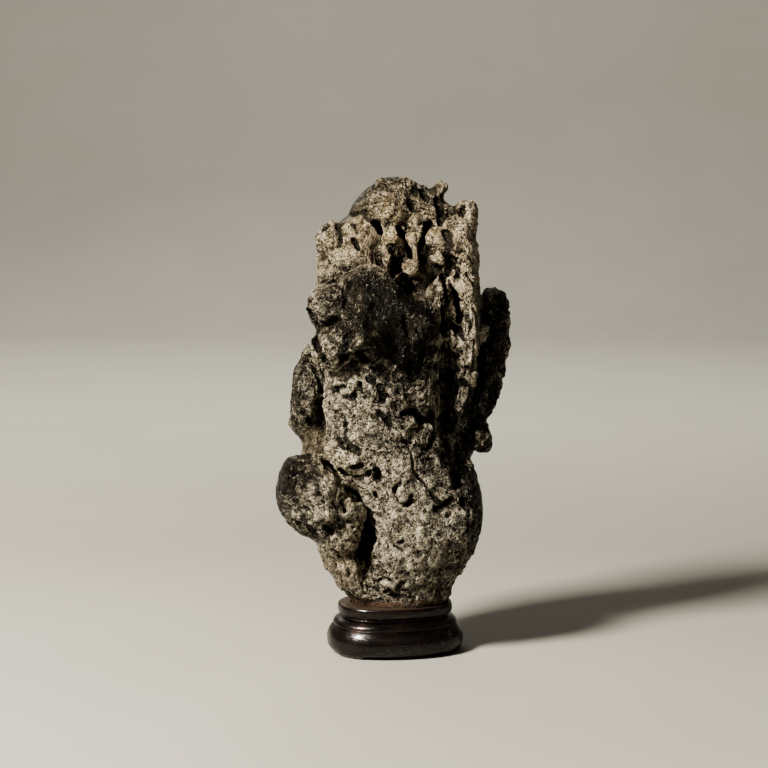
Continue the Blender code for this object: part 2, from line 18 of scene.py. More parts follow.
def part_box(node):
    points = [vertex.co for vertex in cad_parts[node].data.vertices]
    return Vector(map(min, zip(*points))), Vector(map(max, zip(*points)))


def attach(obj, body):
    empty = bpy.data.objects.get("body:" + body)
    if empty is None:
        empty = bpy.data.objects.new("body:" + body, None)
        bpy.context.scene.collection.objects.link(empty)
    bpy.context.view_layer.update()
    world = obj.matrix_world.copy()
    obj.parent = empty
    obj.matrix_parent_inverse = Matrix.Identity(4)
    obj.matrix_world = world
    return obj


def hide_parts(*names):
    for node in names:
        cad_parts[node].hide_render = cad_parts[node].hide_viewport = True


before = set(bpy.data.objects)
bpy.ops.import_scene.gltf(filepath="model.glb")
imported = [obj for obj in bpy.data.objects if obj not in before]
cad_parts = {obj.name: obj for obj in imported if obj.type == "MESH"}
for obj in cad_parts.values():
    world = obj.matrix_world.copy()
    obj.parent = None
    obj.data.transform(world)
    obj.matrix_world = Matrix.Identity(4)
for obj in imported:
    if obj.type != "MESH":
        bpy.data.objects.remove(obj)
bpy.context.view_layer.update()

MM = 0.001

# The outside of the solids that the pieces here stand for, in millimetres.
STAND_HEIGHT = 15.5
LIP_LENGTH = 36.2
LIP_DEPTH = 27.6
STAND_TURN = math.radians(12.0)
OUTLINE_POWER = 2.3
SEAT_DEPTH = 3.0
SEAT_CENTRE = (1.3, 0.0)
SEAT_HALF = (15.6, 11.6)
SEAT_GAP = 0.4
FOOT_HEIGHT = 0.8
# The stone's foot keeps inside the seat, opens out above the lip, and is free from here up.
FOOT_SPREAD = 2.5
FOOT_TOP = 30.0

# The grid that the stone's skin is sampled on: its step, its corners and its counts.
GRID_STEP = 0.46
GRID_LOW = np.array([-42.0, -28.0, 8.0])
GRID_HIGH = np.array([44.0, 30.0, 156.0])
GRID_COUNTS = np.ceil((GRID_HIGH - GRID_LOW) / GRID_STEP).astype(int)
STONE_TRIANGLES = 190000

# The grooves of the stone are this much narrower than those of its solid.
SHARPER = 0.7
GROOVE_FILLET = 0.3
GROOVE_EDGE = 0.4
# The balls that cut a groove: their spacing, as a share of their radius, and the noises that
# make them stray and vary in size, each with its own size and its share of the radius.
GROOVE_PACE = 0.4
GROOVE_STRAY = (2.6, 0.4)
GROOVE_SWELL = (2.2, 0.4)
# The fillet round a lump, as a share of its radius.
LUMP_FILLET = 0.5

Lobe = namedtuple("Lobe", "centre radii turn blend lean", defaults=(0,))

# Swellings of the stone. turn is in degrees about Y and lean about X; blend is the width of
# the fillet where a lobe runs into those above it in the list.
LOBES = {
    # The front column, from the foot up to the boss on its top.
    "foot": Lobe((1.3, 0.5, 22), (17, 12.6, 16), 0, 3),
    "belly": Lobe((9, 1, 46), (18.8, 16.5, 25), -4, 5),
    "belly_front": Lobe((5, -7.5, 38), (13, 10, 18), 6, 5),
    "belly_side": Lobe((16.5, -5.5, 44.5), (7.5, 9, 12), 10, 3),
    "trunk": Lobe((-4, -2, 78), (18.5, 14.5, 36), -4, 6),
    "trunk_ridge": Lobe((-3, -11.5, 64), (7.5, 6, 22), -22, 5),
    "trunk_side": Lobe((7.5, -2, 84), (7.6, 9, 25), -3, 3),
    "boss": Lobe((-8.8, -10.5, 109), (11.8, 11.5, 13.8), 4, 2),
    "boss_ridge": Lobe((-9.6, -20.2, 112.5), (2.3, 2.5, 8.5), 4, 1.2, -14),
    "boss_side": Lobe((3.4, -6.5, 101.5), (10.4, 10.5, 13.5), -16, 4),
    "cheek": Lobe((-20, -10.5, 109), (7, 8, 8), 15, 1),
    "jowl": Lobe((-18.2, -11, 98.8), (8, 8.6, 8.8), 24, 1),
    "ear": Lobe((-11.4, -18.8, 99.6), (2.3, 3.2, 4), 34, 1.2),
    # The rear mass that rises above the column.
    "spine": Lobe((0, 8, 108), (20, 13, 27), 0, 5),
    "crown": Lobe((1, 7.5, 128), (18.4, 11.5, 22), 4, 3),
    "crown_brow": Lobe((-4, 2, 138.5), (11.5, 7, 7), -40, 2),
    "shoulder": Lobe((-13.5, 3.5, 125), (10.6, 10.5, 12.2), 10, 2),
    "shoulder_knob": Lobe((-19.8, 1.5, 130.5), (4.9, 6.4, 6), 0, 1),
    "flank": Lobe((-16.5, 3, 113), (9.6, 10, 14), 6, 3),
    "saddle": Lobe((13, 5, 129), (11.5, 9, 13), 0, 3),
    "saddle_rib": Lobe((-1, -1.5, 129), (3.4, 5.6, 8.5), 8, 1.6),
    "finger": Lobe((13.2, 6.5, 143), (2.4, 3.6, 6.4), 9, 1),
    "tongue": Lobe((6.3, -1, 130), (3.4, 5.4, 9.5), -2, 1.4, -12),
    "tongue_tip": Lobe((5.2, -5, 121.8), (3.2, 3.4, 3), 20, 1),
    # The wing down the right of the column.
    "head": Lobe((22, 3, 136), (4.8, 6, 7.3), 6, 1.5),
    "wing_top": Lobe((20.2, 2, 120), (7.4, 9.6, 18), 3, 2),
    "wing_crest": Lobe((12.9, -4.8, 111.5), (2.8, 5.6, 10), 14, 1.6),
    "wing_brow": Lobe((14.6, -3.6, 125.5), (3.6, 4.6, 3.2), -20, 1),
    "wing_rib": Lobe((23.2, -3, 109), (2.8, 5.5, 13), -3, 1.2),
    "wing_middle": Lobe((20.5, 1.5, 104), (6.4, 8, 16), 5, 2),
    "wing_low": Lobe((21.9, 0.5, 88), (3.9, 7.5, 18), 4, 2.5),
    "hook": Lobe((25.2, -2.5, 99.2), (1.8, 2.8, 5.6), 40, 1),
    "spur": Lobe((17.2, -5, 99.4), (2, 3, 1.8), 0, 1),
    # The thin fin behind the wing, with its knobbed edge; its dark colour is partly painted
    # shade.
    "rib": Lobe((20, 10, 84), (11, 9, 30), 6, 4),
    "fin": Lobe((29.6, 12, 90), (6.9, 5, 22.5), 14, 2),
    "fin_knob_1": Lobe((31.8, 12.5, 111), (4.4, 4.4, 3.6), 0, 0.8),
    "fin_knob_2": Lobe((35.2, 12, 104.4), (2.8, 3.6, 3.6), 0, 0.8),
    "fin_knob_3": Lobe((36.6, 12, 96.4), (1.9, 3, 2.2), 0, 0.8),
    "knob_right": Lobe((27, 6.5, 68), (3.8, 6, 6.4), -6, 1),
    # The left side: a crescent lobe, a narrow neck and the big knob on its stalk.
    "crescent": Lobe((-27, 5.5, 81.5), (6.8, 8, 16), 9, 1.5),
    "neck": Lobe((-22, 6, 65), (8.2, 7.5, 12), 0, 3),
    "knob": Lobe((-24.3, -7.5, 50), (12.4, 10.5, 14.2), -14, 2),
    "knob_cap": Lobe((-30, -9.5, 55.5), (6.2, 8, 8.4), -10, 1.6),
    "knob_nose": Lobe((-24, -15, 52), (6.4, 5, 9), -20, 1.6),
    "knob_low": Lobe((-16.4, -10.5, 45.5), (6.6, 6.4, 7.5), 0, 1.6),
    "stalk": Lobe((-16.2, -5, 29.5), (5.6, 8.5, 14), -34, 3),
    "stalk_top": Lobe((-18, -9.5, 37.5), (7.5, 6.5, 6.5), -30, 2.5),
    "web": Lobe((-12, 3.5, 42), (8, 6.5, 15), -10, 3),
    "shelf": Lobe((-13, -10.5, 63.8), (7.8, 6.5, 6.4), 12, 2.5),
    # The back.
    "back_low": Lobe((0, 8, 46), (19, 11, 24), 8, 4),
    "back_column": Lobe((-7, 13, 66), (9, 8, 34), 9, 3),
    "back_ridge": Lobe((7, 15, 98), (7, 7.5, 34), -10, 2.5),
    "back_lobe": Lobe((-14, 14, 92), (7, 6.5, 18), 14, 2),
    "back_brow": Lobe((-7, 15, 126), (10, 6.5, 9), 26, 2),
    "back_heel": Lobe((10, 15.5, 44), (10, 7, 13), -24, 2.5),
    "back_spur": Lobe((18, 15, 118), (4.6, 5, 12), -12, 1.2),
}

# Hollows cut into the stone after its lobes are joined, in the same form.
HOLLOWS = {
    "dusk_plane": Lobe((20.5, -36, 80), (28, 28, 34), 0, 4),
    "groove": Lobe((16.3, -9, 80), (2.6, 14, 20), 3, 1.2),
    "groove_foot": Lobe((20.6, -9, 64), (3.8, 10, 10), 4, 2),
    "cave": Lobe((4.8, -6, 115.6), (5.4, 7, 4.2), 28, 1),
    "slit_top": Lobe((-18.3, -13, 57.8), (1.4, 8, 6.4), -42, 1),
    "slit_middle": Lobe((-12, -14.5, 50.6), (1.5, 8, 5.4), -46, 1),
    "slit": Lobe((-7.8, -14, 41.4), (1.8, 9.5, 8), -4, 1),
    "slit_foot": Lobe((-9, -12, 30), (0.9, 4.5, 7), 11, 0.6),
    "crown_hole": Lobe((-5.3, -5.5, 133.4), (0.9, 5, 2.2), -28, 0.6),
    "crown_cut_left": Lobe((3, -6, 129.8), (0.5, 6, 5), -22, 0.5),
    "crown_cut_right": Lobe((9.4, -5, 131.5), (0.55, 6.5, 4.8), 18, 0.5),
    "under_rib": Lobe((0.4, -8, 121.6), (1.7, 5.5, 4), -14, 0.6),
    "crown_dish": Lobe((-6.5, -8.5, 141), (2.6, 4, 4), 40, 1.2),
    "shoulder_pit": Lobe((-11.6, -10.5, 128.8), (0.9, 3.2, 2.4), -30, 0.6),
    "wing_slot": Lobe((18.8, -8, 111.8), (1.1, 6.5, 6), -14, 0.6),
    "wing_slot_left": Lobe((15.4, -8.5, 115), (0.8, 6, 5.5), -8, 0.6),
    "wing_dip": Lobe((20.5, -9, 128), (3, 4, 5), 30, 1.5),
    "fin_gap": Lobe((27.4, 1, 92), (2.2, 9, 17), 12, 1),
    "neck_hollow": Lobe((-31.6, -1, 66), (3.4, 9, 4.2), 0, 1.5),
    "back_valley": Lobe((1, 24, 78), (3.6, 9, 26), 4, 1.5),
    "back_cave": Lobe((13, 19, 68), (5, 8, 9), 24, 1.5),
    "back_slot": Lobe((-8, 22, 108), (2.2, 8, 12), 22, 1),
    "back_pocket": Lobe((-14, 18, 58), (5, 6, 9), 20, 1.5),
    "back_notch": Lobe((13.5, 17.5, 136), (3.4, 7, 9), -16, 1.2),
}

# Creases, slots and pits of the front: the radius of the ball that cuts each, how deep it is
# sunk, and the path it is drawn along. Places are across and up, on the skin seen from -Y.
GROOVES = {
    "cheek_foot": (1, 0.6, (
        (-26.5, 108.5), (-25.5, 106.5), (-23.5, 105), (-21, 105), (-18.5, 106.5)
    )),
    "cheek_edge": (0.9, 0.5, (
        (-22.5, 116), (-19.5, 117.2), (-16.5, 116), (-15, 112.5), (-16, 108.5)
    )),
    "jowl_edge": (1, 0.8, (
        (-25, 100.5), (-24, 97), (-22, 94), (-19.5, 92), (-17, 92.5), (-15.5, 94.5)
    )),
    "ear_hole": (1.1, 1.0, ((-11, 95.5), (-9.5, 94))),
    "trunk_ledge": (0.9, 0.4, ((-15.5, 85.5), (-18, 84.5), (-16, 82), (-13, 82.5), (-11.5, 85))),
    "trunk_pit": (1.1, 0.5, ((-11, 86.5), (-11, 84.5))),
    "trunk_pit_2": (0.9, 0.3, ((-8, 88.5), (-7, 87.5))),
    "dusk_cup": (0.9, 0.3, ((6.5, 67), (10, 65.5), (11.5, 68.5), (12.5, 71.5), (11, 76))),
    "belly_lump": (0.9, 0.3, ((21, 50), (23, 45.5), (22.5, 40.5), (20.5, 37.5))),
    "pit_high": (1.1, 1, ((-6, 59.5), (-6, 58))),
    "pit_low": (0.9, 0.6, ((-6, 52.5), (-6, 51.5))),
    "shelf_edge": (0.9, 0.4, ((-17, 59.5), (-15, 57.5), (-12, 57.5), (-8, 58.5))),
    "slit_top": (1.1, 2, ((-22, 61.5), (-20.5, 59.5), (-18.5, 57))),
    "slit": (1.7, 4, (
        (-15.5, 55.5), (-14.5, 52.5), (-12.5, 49.5), (-10, 48), (-8.5, 44), (-8.5, 38),
        (-9, 33.5)
    )),
    "foot_pit": (0.9, 0.4, ((-4.5, 24.5), (-3, 25.5), (-1.5, 25))),
    "foot_pit_2": (1, 0.5, ((-3, 20.5), (-2, 22), (-0.5, 19.5))),
    "knob_pit": (1.1, 0.3, ((-27.5, 48.5), (-25, 46.5))),
    "knob_pit_2": (1.1, 0.3, ((-17, 50), (-15.5, 47))),
    "knob_pit_3": (0.9, 0.2, ((-21.5, 42), (-19.5, 40))),
    "knob_pit_4": (0.9, 0.2, ((-27, 42), (-25, 39.5))),
    "shoulder_pit": (0.9, 0.6, ((-13, 130.5), (-11.5, 127.5))),
    "crown_hole": (0.9, 2, ((-6, 134.8), (-4.8, 132.5))),
    "crown_hole_lip": (0.9, 0.1, ((-9.5, 137.2), (-7.8, 136.4), (-6, 134.8))),
    "slot_left": (0.8, 2.5, ((2, 132.5), (3.5, 128), (5, 124.5))),
    "slot_right": (0.8, 2.5, ((10, 135), (8.5, 131), (7.5, 127.5))),
    "slot_right_foot": (0.9, 1, ((7.5, 127.5), (8.5, 123.5), (7.5, 120.5))),
    "tongue_edge": (1, 1.5, ((2.5, 118), (4.5, 117.5), (7, 119))),
    "cave_roof": (1, 3, ((0, 124), (-0.5, 120))),
    "cave_roof_2": (0.9, 0.1, ((-2.5, 128), (-1, 127.5), (0, 125.5))),
    "arch": (0.8, 0.1, (
        (11.5, 126.5), (13.5, 128), (15.5, 126.5), (17.5, 124), (16.5, 121), (15.5, 119.5)
    )),
    "slot_a": (1, 1.5, ((14, 119.5), (15.5, 115), (14.5, 110.5), (14.5, 106), (15, 101.5))),
    "slot_b": (1.2, 4, ((17.5, 116.5), (19, 114), (20, 110.5))),
    "slot_b_foot": (0.9, 1, ((20, 110.5), (20, 107), (19.5, 105))),
    "crown_pits": (0.8, 0.1, ((4.5, 142), (5, 140))),
}

# Small lumps of the front: the radius of a ball, how far it stands out, and its place.
LUMPS = {
    "cheek_bulb": (4.2, 1.6, (-20, 112)),
    "cheek_side": (4, 0.8, (-24, 111)),
    "jowl_point": (4.2, 1.2, (-19.5, 97.5)),
    "boss_light": (2.8, 0.5, (-10, 117)),
    "boss_light_2": (2.6, 0.5, (-9, 112)),
    "boss_left": (3.4, 0.6, (-14.5, 115)),
    "nose": (4.6, 0.8, (-25, 53.5)),
    "nose_top": (2.6, 0.9, (-29, 57)),
    "nose_side": (2.8, 0.6, (-32.5, 51.5)),
    "knob_right": (2.6, 0.8, (-20.5, 47)),
    "knob_corner": (2.4, 0.9, (-14, 47)),
    "knob_foot": (2.8, 0.8, (-15, 41.5)),
    "knob_chin": (3, 0.6, (-23, 41)),
    "shelf_1": (2.6, 0.8, (-19, 66)),
    "shelf_2": (3, 1, (-13.5, 62.5)),
    "dusk_lump": (3.2, 0.9, (8.5, 71)),
    "dusk_lump_2": (2.8, 0.7, (4, 74)),
    "belly_side": (3, 0.8, (21.5, 45)),
    "trunk_1": (2.6, 0.8, (-8, 85)),
    "trunk_3": (3.6, 0.6, (-11.5, 71.5)),
    "arch_lump": (2.6, 0.8, (12.5, 124.5)),
    "crown_lump": (3, 0.6, (3.5, 147.5)),
    "shoulder_lump": (4, 0.6, (-13.5, 133.5)),
}

# How the rims of the hollows are rumpled: amount in millimetres, waves per millimetre, the
# order of the axes and where each wave starts.
RUMPLES = (
    (0.6, 0.9, (1, 2, 0), (0.3, 1.9, 4.1)),
    (0.25, 2.1, (2, 0, 1), (2.2, 0.7, 3.3)),
)

# The stone's weathering, as in its solid: a slow swell, then two sizes of nodule. Here and
# below, such a row is the size of a noise and how far it moves the skin.
SWELL = (24.0, 1.2)
NODULES = ((11.0, 1.8), (5.4, 1.3))
WEATHER_SEED = Vector((3.7, 8.1, 5.3))
# About the mean distance to the nearest point of a cell noise.
CELL_MEAN = 0.45
# How deep the weathering may bite, and where it sets in above the stand's lip.
BITE_RANGE = (0.2, 2)
BITE_START = 0.4
BITE_RAMP = 2.6

# The scene's own finer relief: nodules, waves, worm tracks and pits, on bent places.
BEND = (3.6, 1.6)
FINE_NODULE = (2.5, 0.7)
FINE_WAVES = ((2.2, 0.35), (1.1, 0.3))
TRACK = (3.0, 0.55)
TRACK_WIDTH = 0.055
TRACK_SEED = Vector((9, 2, 5))
PIT = (2.1, 0.8)
PIT_LEVEL = 0.32
PIT_SEED = Vector((4, 7, 1))
# How much of it creases and smooth patches take away, and how far it is drawn out.
CREASE_CALM = 0.35
SMOOTHEST = 0.8
DRAWN_OUT = 0.5

# What the vector noise draws its offsets from, so that every run gives the same stone.
NOISE_SEED = 2

# What stands out is measured over this many rounds of smoothing, and weighs this much. The crust
# is paler on it and darker in the hollows, which is partly painted shade.
STANDING_OUT = ((8, 1.1), (50, 0.16))
ROUND_KEEPS = 0.3
ROUND_SPREADS = 0.7
# The polish of the stone outside all patches, and what a full patch adds to it.
POLISH_BASE = 0.42
POLISH_SPAN = 0.58

# Soft-edged patches of the stone: the middle and half sizes of each, and an amount.
# Where the stone is dark and worn smooth, or darkened as painted shade on sides that turn from
# the light, and where its crust is thick and pale instead.
POLISH_AND_SHADE = (
    ((-5, -18, 110), (15, 11, 14), 1),
    ((-9, -21, 113), (5, 7, 8), 0.4),
    # Dark stone on the boss's right side, deepened by painted shade where it turns from the
    # light.
    ((6, -14, 100), (13, 10, 14), 0.65),
    ((-25, -12, 109), (9, 10, 10), 0.38),
    ((-14, 12, 142), (16, 9, 14), 1),
    ((0, 14, 150), (18, 9, 6), 0.9),
    ((-7.2, -4, 139), (3.4, 4, 4), 0.6),
    ((-31, -10, 58), (9.5, 11, 8), 1),
    ((-36, -6, 50), (7, 12, 16), 0.9),
    ((-17, -13, 48), (5, 7, 7), 0.5),
    ((-24, -16, 40), (8, 7, 5), 0.5),
    # Painted shade: these three darken the belly's shaded side, its right edge and the lower
    # wing, where shade falls.
    ((11.5, -12, 64), (6.5, 9, 13), 0.4),
    ((25, -3, 50), (6, 10, 16), 1),
    ((21, -6, 74), (6, 9, 10), 1),
    # The fin's dark stone, deepened by painted shade on its shaded side.
    ((30, 8, 92), (10, 12, 26), 0.75),
    ((27, 6, 66), (7, 9, 9), 0.6),
    ((-29, 5, 82), (7, 10, 15), 0.85),
)
CREAM = (
    ((-14, -8, 126), (13, 10, 12), 0.25),
    ((2, -6, 134), (16, 9, 15), 0.45),
    ((21, -4, 127), (9, 12, 15), 0.9),
    ((20, -6, 108), (9, 10, 20), 0.3),
    ((21, -6, 88), (6, 9, 16), 0.35),
    ((-17, -8, 78), (12, 12, 16), 0.3),
    ((-13, -14, 64), (9, 9, 9), 0.4),
    ((-17, -12, 48), (9, 10, 11), 0.6),
    ((-10, -14, 60), (9, 8, 7), 0.5),
    ((4, -17, 42), (15, 10, 20), 0.35),
)

# Bare, even, tan patches: the knob's stalk, the neck over it and the chute by the tongues.
BARE = (
    ((-18, -10, 33), (6.5, 9, 7), 0.7),
    ((-27, 2, 66), (5.5, 8, 6), 1),
    ((9.6, -6, 119), (3.4, 6, 6.5), 1),
)

# Where the crust is a warm sand colour instead of grey.
WARM = (
    ((0, 0, 132), (34, 30, 26), 1),
    ((-17, -8, 30), (9, 12, 12), 1),
    ((-22, -12, 62), (7, 9, 7), 0.6),
    ((-27, 2, 66), (7, 9, 8), 1),
)

# How much deeper the weathering bites in places, as in the solid.
RUGGED = (
    ((20, -4, 104), (14, 16, 34), 0.6),
    ((27, 2, 46), (8, 16, 20), -1),
    ((4, -6, 132), (20, 14, 18), 0.5),
    ((-6, -16, 111), (20, 14, 16), -1.3),
    ((-10, 10, 144), (20, 14, 14), -1.2),
    ((-30, -10, 56), (13, 14, 14), -1),
    ((-27, 2, 66), (9, 12, 8), -1.3),
)

# Where the nodules and pits are slighter.
SMOOTH = (
    ((-19, -10, 32), (8, 9, 9), 0.7),
    ((-14, -6, 127), (12, 12, 13), 0.6),
    ((0, -4, 140), (16, 12, 11), 0.55),
    ((1, -4, 130), (9, 12, 9), 0.5),
    ((-5, -18, 110), (15, 11, 13), 0.15),
    ((-28, -8, 60), (10, 12, 9), 0.5),
    ((9.6, -6, 119), (5, 8, 8), 0.8),
    ((20, -4, 131), (9, 12, 12), 0.55),
    ((6, -17, 42), (14, 12, 20), 0.5),
    ((-7, -14, 76), (14, 12, 16), 0.3),
    ((-27, 2, 66), (6.5, 9, 7), 0.8),
)

# Where the nodules and pits are drawn out up and down.
DRAWN = (
    ((20, -4, 106), (10, 14, 30), 1),
    ((5, -5, 128), (11, 9, 12), 0.8),
    ((-29, 4, 82), (6, 10, 16), 1),
    ((-17, -8, 30), (8, 12, 11), 0.8),
)

# Finer creases and lumps of the front, which the solid leaves out.
FINE_GROOVES = {
    "jowl_top": (0.6, 0, ((-19.5, 107), (-16.5, 106), (-15.5, 103))),
    "ear_pit": (0.6, 0, ((-15.5, 101), (-13, 103))),
    "boss_side_1": (0.8, 0.2, ((-4, 103.5), (-1.5, 98.5), (-0.5, 93))),
    "boss_side_2": (0.8, 0.2, ((2.5, 107), (4, 101.5), (4, 93.5), (5, 88))),
    "boss_side_3": (0.7, 0, ((-7.5, 102), (-5, 98), (-1.5, 95))),
    "boss_side_4": (0.7, 0, ((6.5, 103), (8.5, 97), (7.5, 90))),
    "trunk_line": (0.7, 0, ((-5, 86), (-4, 84), (-4, 81.5))),
    "trunk_line_2": (0.7, 0, ((-22, 83.5), (-21, 82), (-22.5, 80.5))),
    "diagonal": (0.6, 0, (
        (-5, 78), (-2, 75), (1, 72), (2.5, 69), (5, 65), (5, 60), (9, 55.5), (11.5, 52),
        (13.5, 49.5)
    )),
    "dusk_brow": (0.7, 0, ((2, 77), (5, 78), (6.5, 77))),
    "dusk_line": (0.7, 0, ((3, 69), (6, 67), (8, 66))),
    "dusk_fold": (0.7, 0, ((5.5, 77.5), (7.5, 75), (11, 74.5))),
    "belly_crease": (0.6, 0, ((12.5, 47.5), (15.5, 49), (18, 50.5))),
    "belly_pit": (0.8, 0, ((1, 37), (2.5, 38))),
    "belly_pit_2": (0.6, 0, ((7.5, 44.5), (9, 42.5), (11, 43.5))),
    "belly_pit_3": (0.6, 0, ((0, 36), (2, 35))),
    "ring": (0.9, 0.3, (
        (1.5, 56), (0, 54.5), (-0.2, 52), (1, 50), (3, 49.2), (4.8, 50.2), (5.2, 52)
    )),
    "shelf_fold": (0.6, 0.1, ((-15.5, 74), (-16, 69.5), (-14, 67), (-12, 66))),
    "shelf_fold_2": (0.6, 0, ((-18.5, 69.5), (-16.5, 68.5), (-16, 67))),
    "shelf_pit": (0.8, 0.2, ((-12.5, 60.5), (-11, 61))),
    "slit_high": (2.3, 3, ((-14.5, 54.5), (-12, 51.5), (-10, 49), (-8.8, 46))),
    "slit_side": (0.8, 0.8, ((-18.5, 56), (-16.5, 54), (-15, 51.5))),
    "foot_line": (0.8, 0.3, ((-10.5, 31), (-10.5, 27.5), (-9, 25))),
    "foot_pit_3": (0.7, 0, ((0.5, 22), (2.5, 24))),
    "neck_shadow": (0.8, 0, ((-28, 64), (-25, 63))),
    "knob_arc": (0.7, 0, ((-34, 56), (-32, 58.5), (-29.5, 59.5), (-27.5, 60.5))),
    "knob_arc_2": (0.7, 0, ((-30.5, 57), (-31, 53.5), (-30, 50))),
    "knob_pit_5": (0.8, 0, ((-31.5, 44), (-30, 43))),
    "knob_line": (0.7, 0, ((-19.5, 50.5), (-18, 48), (-17.5, 44.5))),
    "crescent_line": (0.5, 0, (
        (-28.5, 94.5), (-28.5, 89.5), (-29.5, 84.5), (-30, 79.5), (-29, 75.5)
    )),
    "crescent_line_2": (0.6, 0, ((-26.5, 90.5), (-24.5, 87), (-23, 82.5))),
    "crescent_line_3": (0.7, 0.1, ((-27.5, 73.5), (-26, 72), (-24, 72))),
    "tail_line": (0.7, 0.1, ((-19, 35), (-16, 31), (-14.5, 27))),
    "tail_line_3": (0.6, 0, ((-22, 34.5), (-18.5, 30.5), (-16.5, 25.5))),
    "shoulder_line": (0.7, 0, ((-13, 135), (-11.5, 132.5))),
    "shoulder_dint": (0.8, 0, ((-22.5, 133.5), (-21, 135))),
    "shoulder_ring": (0.6, 0, ((-18, 135), (-17, 131.5), (-17.5, 128))),
    "crown_rim": (0.7, 0.1, ((-7, 137), (-10.5, 139), (-14, 138.5))),
    "wing_1": (0.8, 0.3, ((20.5, 113), (21.5, 110), (20.5, 106))),
    "wing_2": (0.8, 0.2, ((18, 123.5), (19.5, 121), (19.5, 118))),
    "wing_3": (0.8, 0.2, ((22, 119.5), (24, 116.5))),
    "wing_4": (0.8, 0.4, ((17.5, 104), (20, 102), (21.5, 99))),
    "wing_5": (0.8, 0.3, ((21.5, 107), (23.5, 104), (23, 101))),
    "wing_6": (0.8, 0.2, ((19, 98), (21, 95.5))),
    "wing_7": (0.8, 0.2, ((20.5, 91), (23, 90.5))),
    "wing_8": (0.8, 0.2, ((20, 86.5), (21.5, 85.5))),
    "head_1": (0.8, 0.2, ((13, 143), (14.5, 139.5), (14, 135.5))),
    "head_3": (0.7, 0.1, ((21, 141), (20.5, 138))),
    "head_4": (0.7, 0, ((15.5, 132.5), (16.5, 130))),
    "crown_pits_2": (0.7, 0, ((6, 146), (7, 144.5))),
    "crown_dark": (0.8, 0.2, ((8.5, 145.5), (10, 143.5))),
}
FINE_LUMPS = {
    "boss_light_3": (2.2, 0.5, (-9.5, 108)),
    "ear": (1.5, 0.6, (-10.5, 101.5)),
    "ear_2": (1.4, 0.6, (-13, 98)),
    "shelf_3": (2.2, 0.8, (-9.5, 66)),
    "shelf_4": (1.8, 0.8, (-8, 61.5)),
    "ring_boss": (1.6, 0.5, (2, 53)),
    "trunk_2": (1.6, 0.6, (-15, 84)),
    "trunk_4": (2.6, 0.5, (-1.5, 82)),
    "chute_rim": (2.2, 0.7, (11.5, 114.5)),
    "chute_rim_2": (2, 0.6, (12.5, 109.5)),
    "wing_lump": (2, 0.8, (17.5, 101.5)),
    "wing_lump_2": (2.2, 0.8, (21, 98.5)),
    "wing_lump_3": (2.2, 0.8, (22, 93)),
    "wing_lump_4": (2, 0.9, (23.5, 88)),
    "wing_lump_5": (1.8, 0.6, (21, 80)),
    "head_fill": (3.2, 1.4, (20, 129)),
    "head_fill_2": (2.4, 0.8, (15, 123.5)),
    "head_lump": (2.2, 0.7, (14, 145.5)),
    "head_lump_3": (2, 0.6, (19, 132.5)),
    "crown_lump_2": (2.6, 0.5, (-4, 147)),
}


def place_of(node):
    """The middle of a node's box on the ground plane, in millimetres."""
    low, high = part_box(node)
    middle = (low + high) / 2 / MM
    return np.array([middle.x, middle.y, 0.0])


# ---- the stone's shape


def turn_of(lobe):
    return np.array(Euler((math.radians(lobe.lean), math.radians(lobe.turn), 0)).to_matrix())


def distance_to(lobe, points):
    """About how far each point is outside an ellipsoid, below 0 inside it."""
    local = (points - lobe.centre) @ turn_of(lobe)
    radii = np.array(lobe.radii)
    level = np.linalg.norm(local / radii, axis=-1)
    slope = np.linalg.norm(local / radii**2, axis=-1)
    return level * (level - 1) / np.maximum(slope, 1e-6)


def rumpled(points, hollow):
    """Points moved about a little, so that the hollow cut there has an uneven rim."""
    least = min(hollow.radii)
    share = min(1, 3 / least, least / 2)
    moved = points
    for amount, waves, order, start in RUMPLES:
        moved = moved + share * amount * np.sin(waves * points[..., order] + np.array(start))
    return moved


def joined(first, second, blend):
    """The nearer of two distances, with a fillet of this width between them."""
    share = np.clip(0.5 + 0.5 * (second - first) / blend, 0, 1)
    return second + (first - second) * share - blend * share * (1 - share)


def cut(solid, hollow, blend):
    """The distance to a solid that a hollow is cut out of, with a fillet at its rim."""
    return -joined(-solid, hollow, blend)


def window_at(centre, reach):
    """The slices of the grid that are within reach of a place."""
    low = np.floor((centre - reach - GRID_LOW) / GRID_STEP).astype(int)
    high = np.ceil((centre + reach - GRID_LOW) / GRID_STEP).astype(int)
    low = np.clip(low, 0, GRID_COUNTS)
    high = np.clip(high, 0, GRID_COUNTS)
    return tuple(slice(a, b) for a, b in zip(low, high))


def window_round(lobe):
    """The slices of the grid that a lobe and its fillet can change."""
    reach = np.linalg.norm(turn_of(lobe) * np.array(lobe.radii), axis=1) + lobe.blend + 3
    return window_at(lobe.centre, reach)


def grid_points(window):
    """The places of the grid's points in a window of slices."""
    axes = [GRID_LOW[i] + np.arange(w.start, w.stop) * GRID_STEP for i, w in enumerate(window)]
    return np.stack(np.meshgrid(*axes, indexing="ij"), axis=-1)


def foot_plug(points):
    """The seat's outline, which the stone's foot keeps inside, opening out above the lip."""
    x = np.abs(points[..., 0] - SEAT_CENTRE[0]) / (SEAT_HALF[0] - SEAT_GAP)
    y = np.abs(points[..., 1] - SEAT_CENTRE[1]) / (SEAT_HALF[1] - SEAT_GAP)
    around = (x**OUTLINE_POWER + y**OUTLINE_POWER) ** (1 / OUTLINE_POWER)
    above = np.maximum(points[..., 2] - STAND_HEIGHT - SEAT_GAP, 0)
    return (around - 1) * min(SEAT_HALF) - FOOT_SPREAD * above


def ball_into(field, centre, radius, blend, how):
    """Puts a ball into the stone, joined to it or cut out of it."""
    window = window_at(centre, radius + blend + 1)
    near = np.linalg.norm(grid_points(window) - centre, axis=-1) - radius
    field[window] = how(field[window], near, blend)


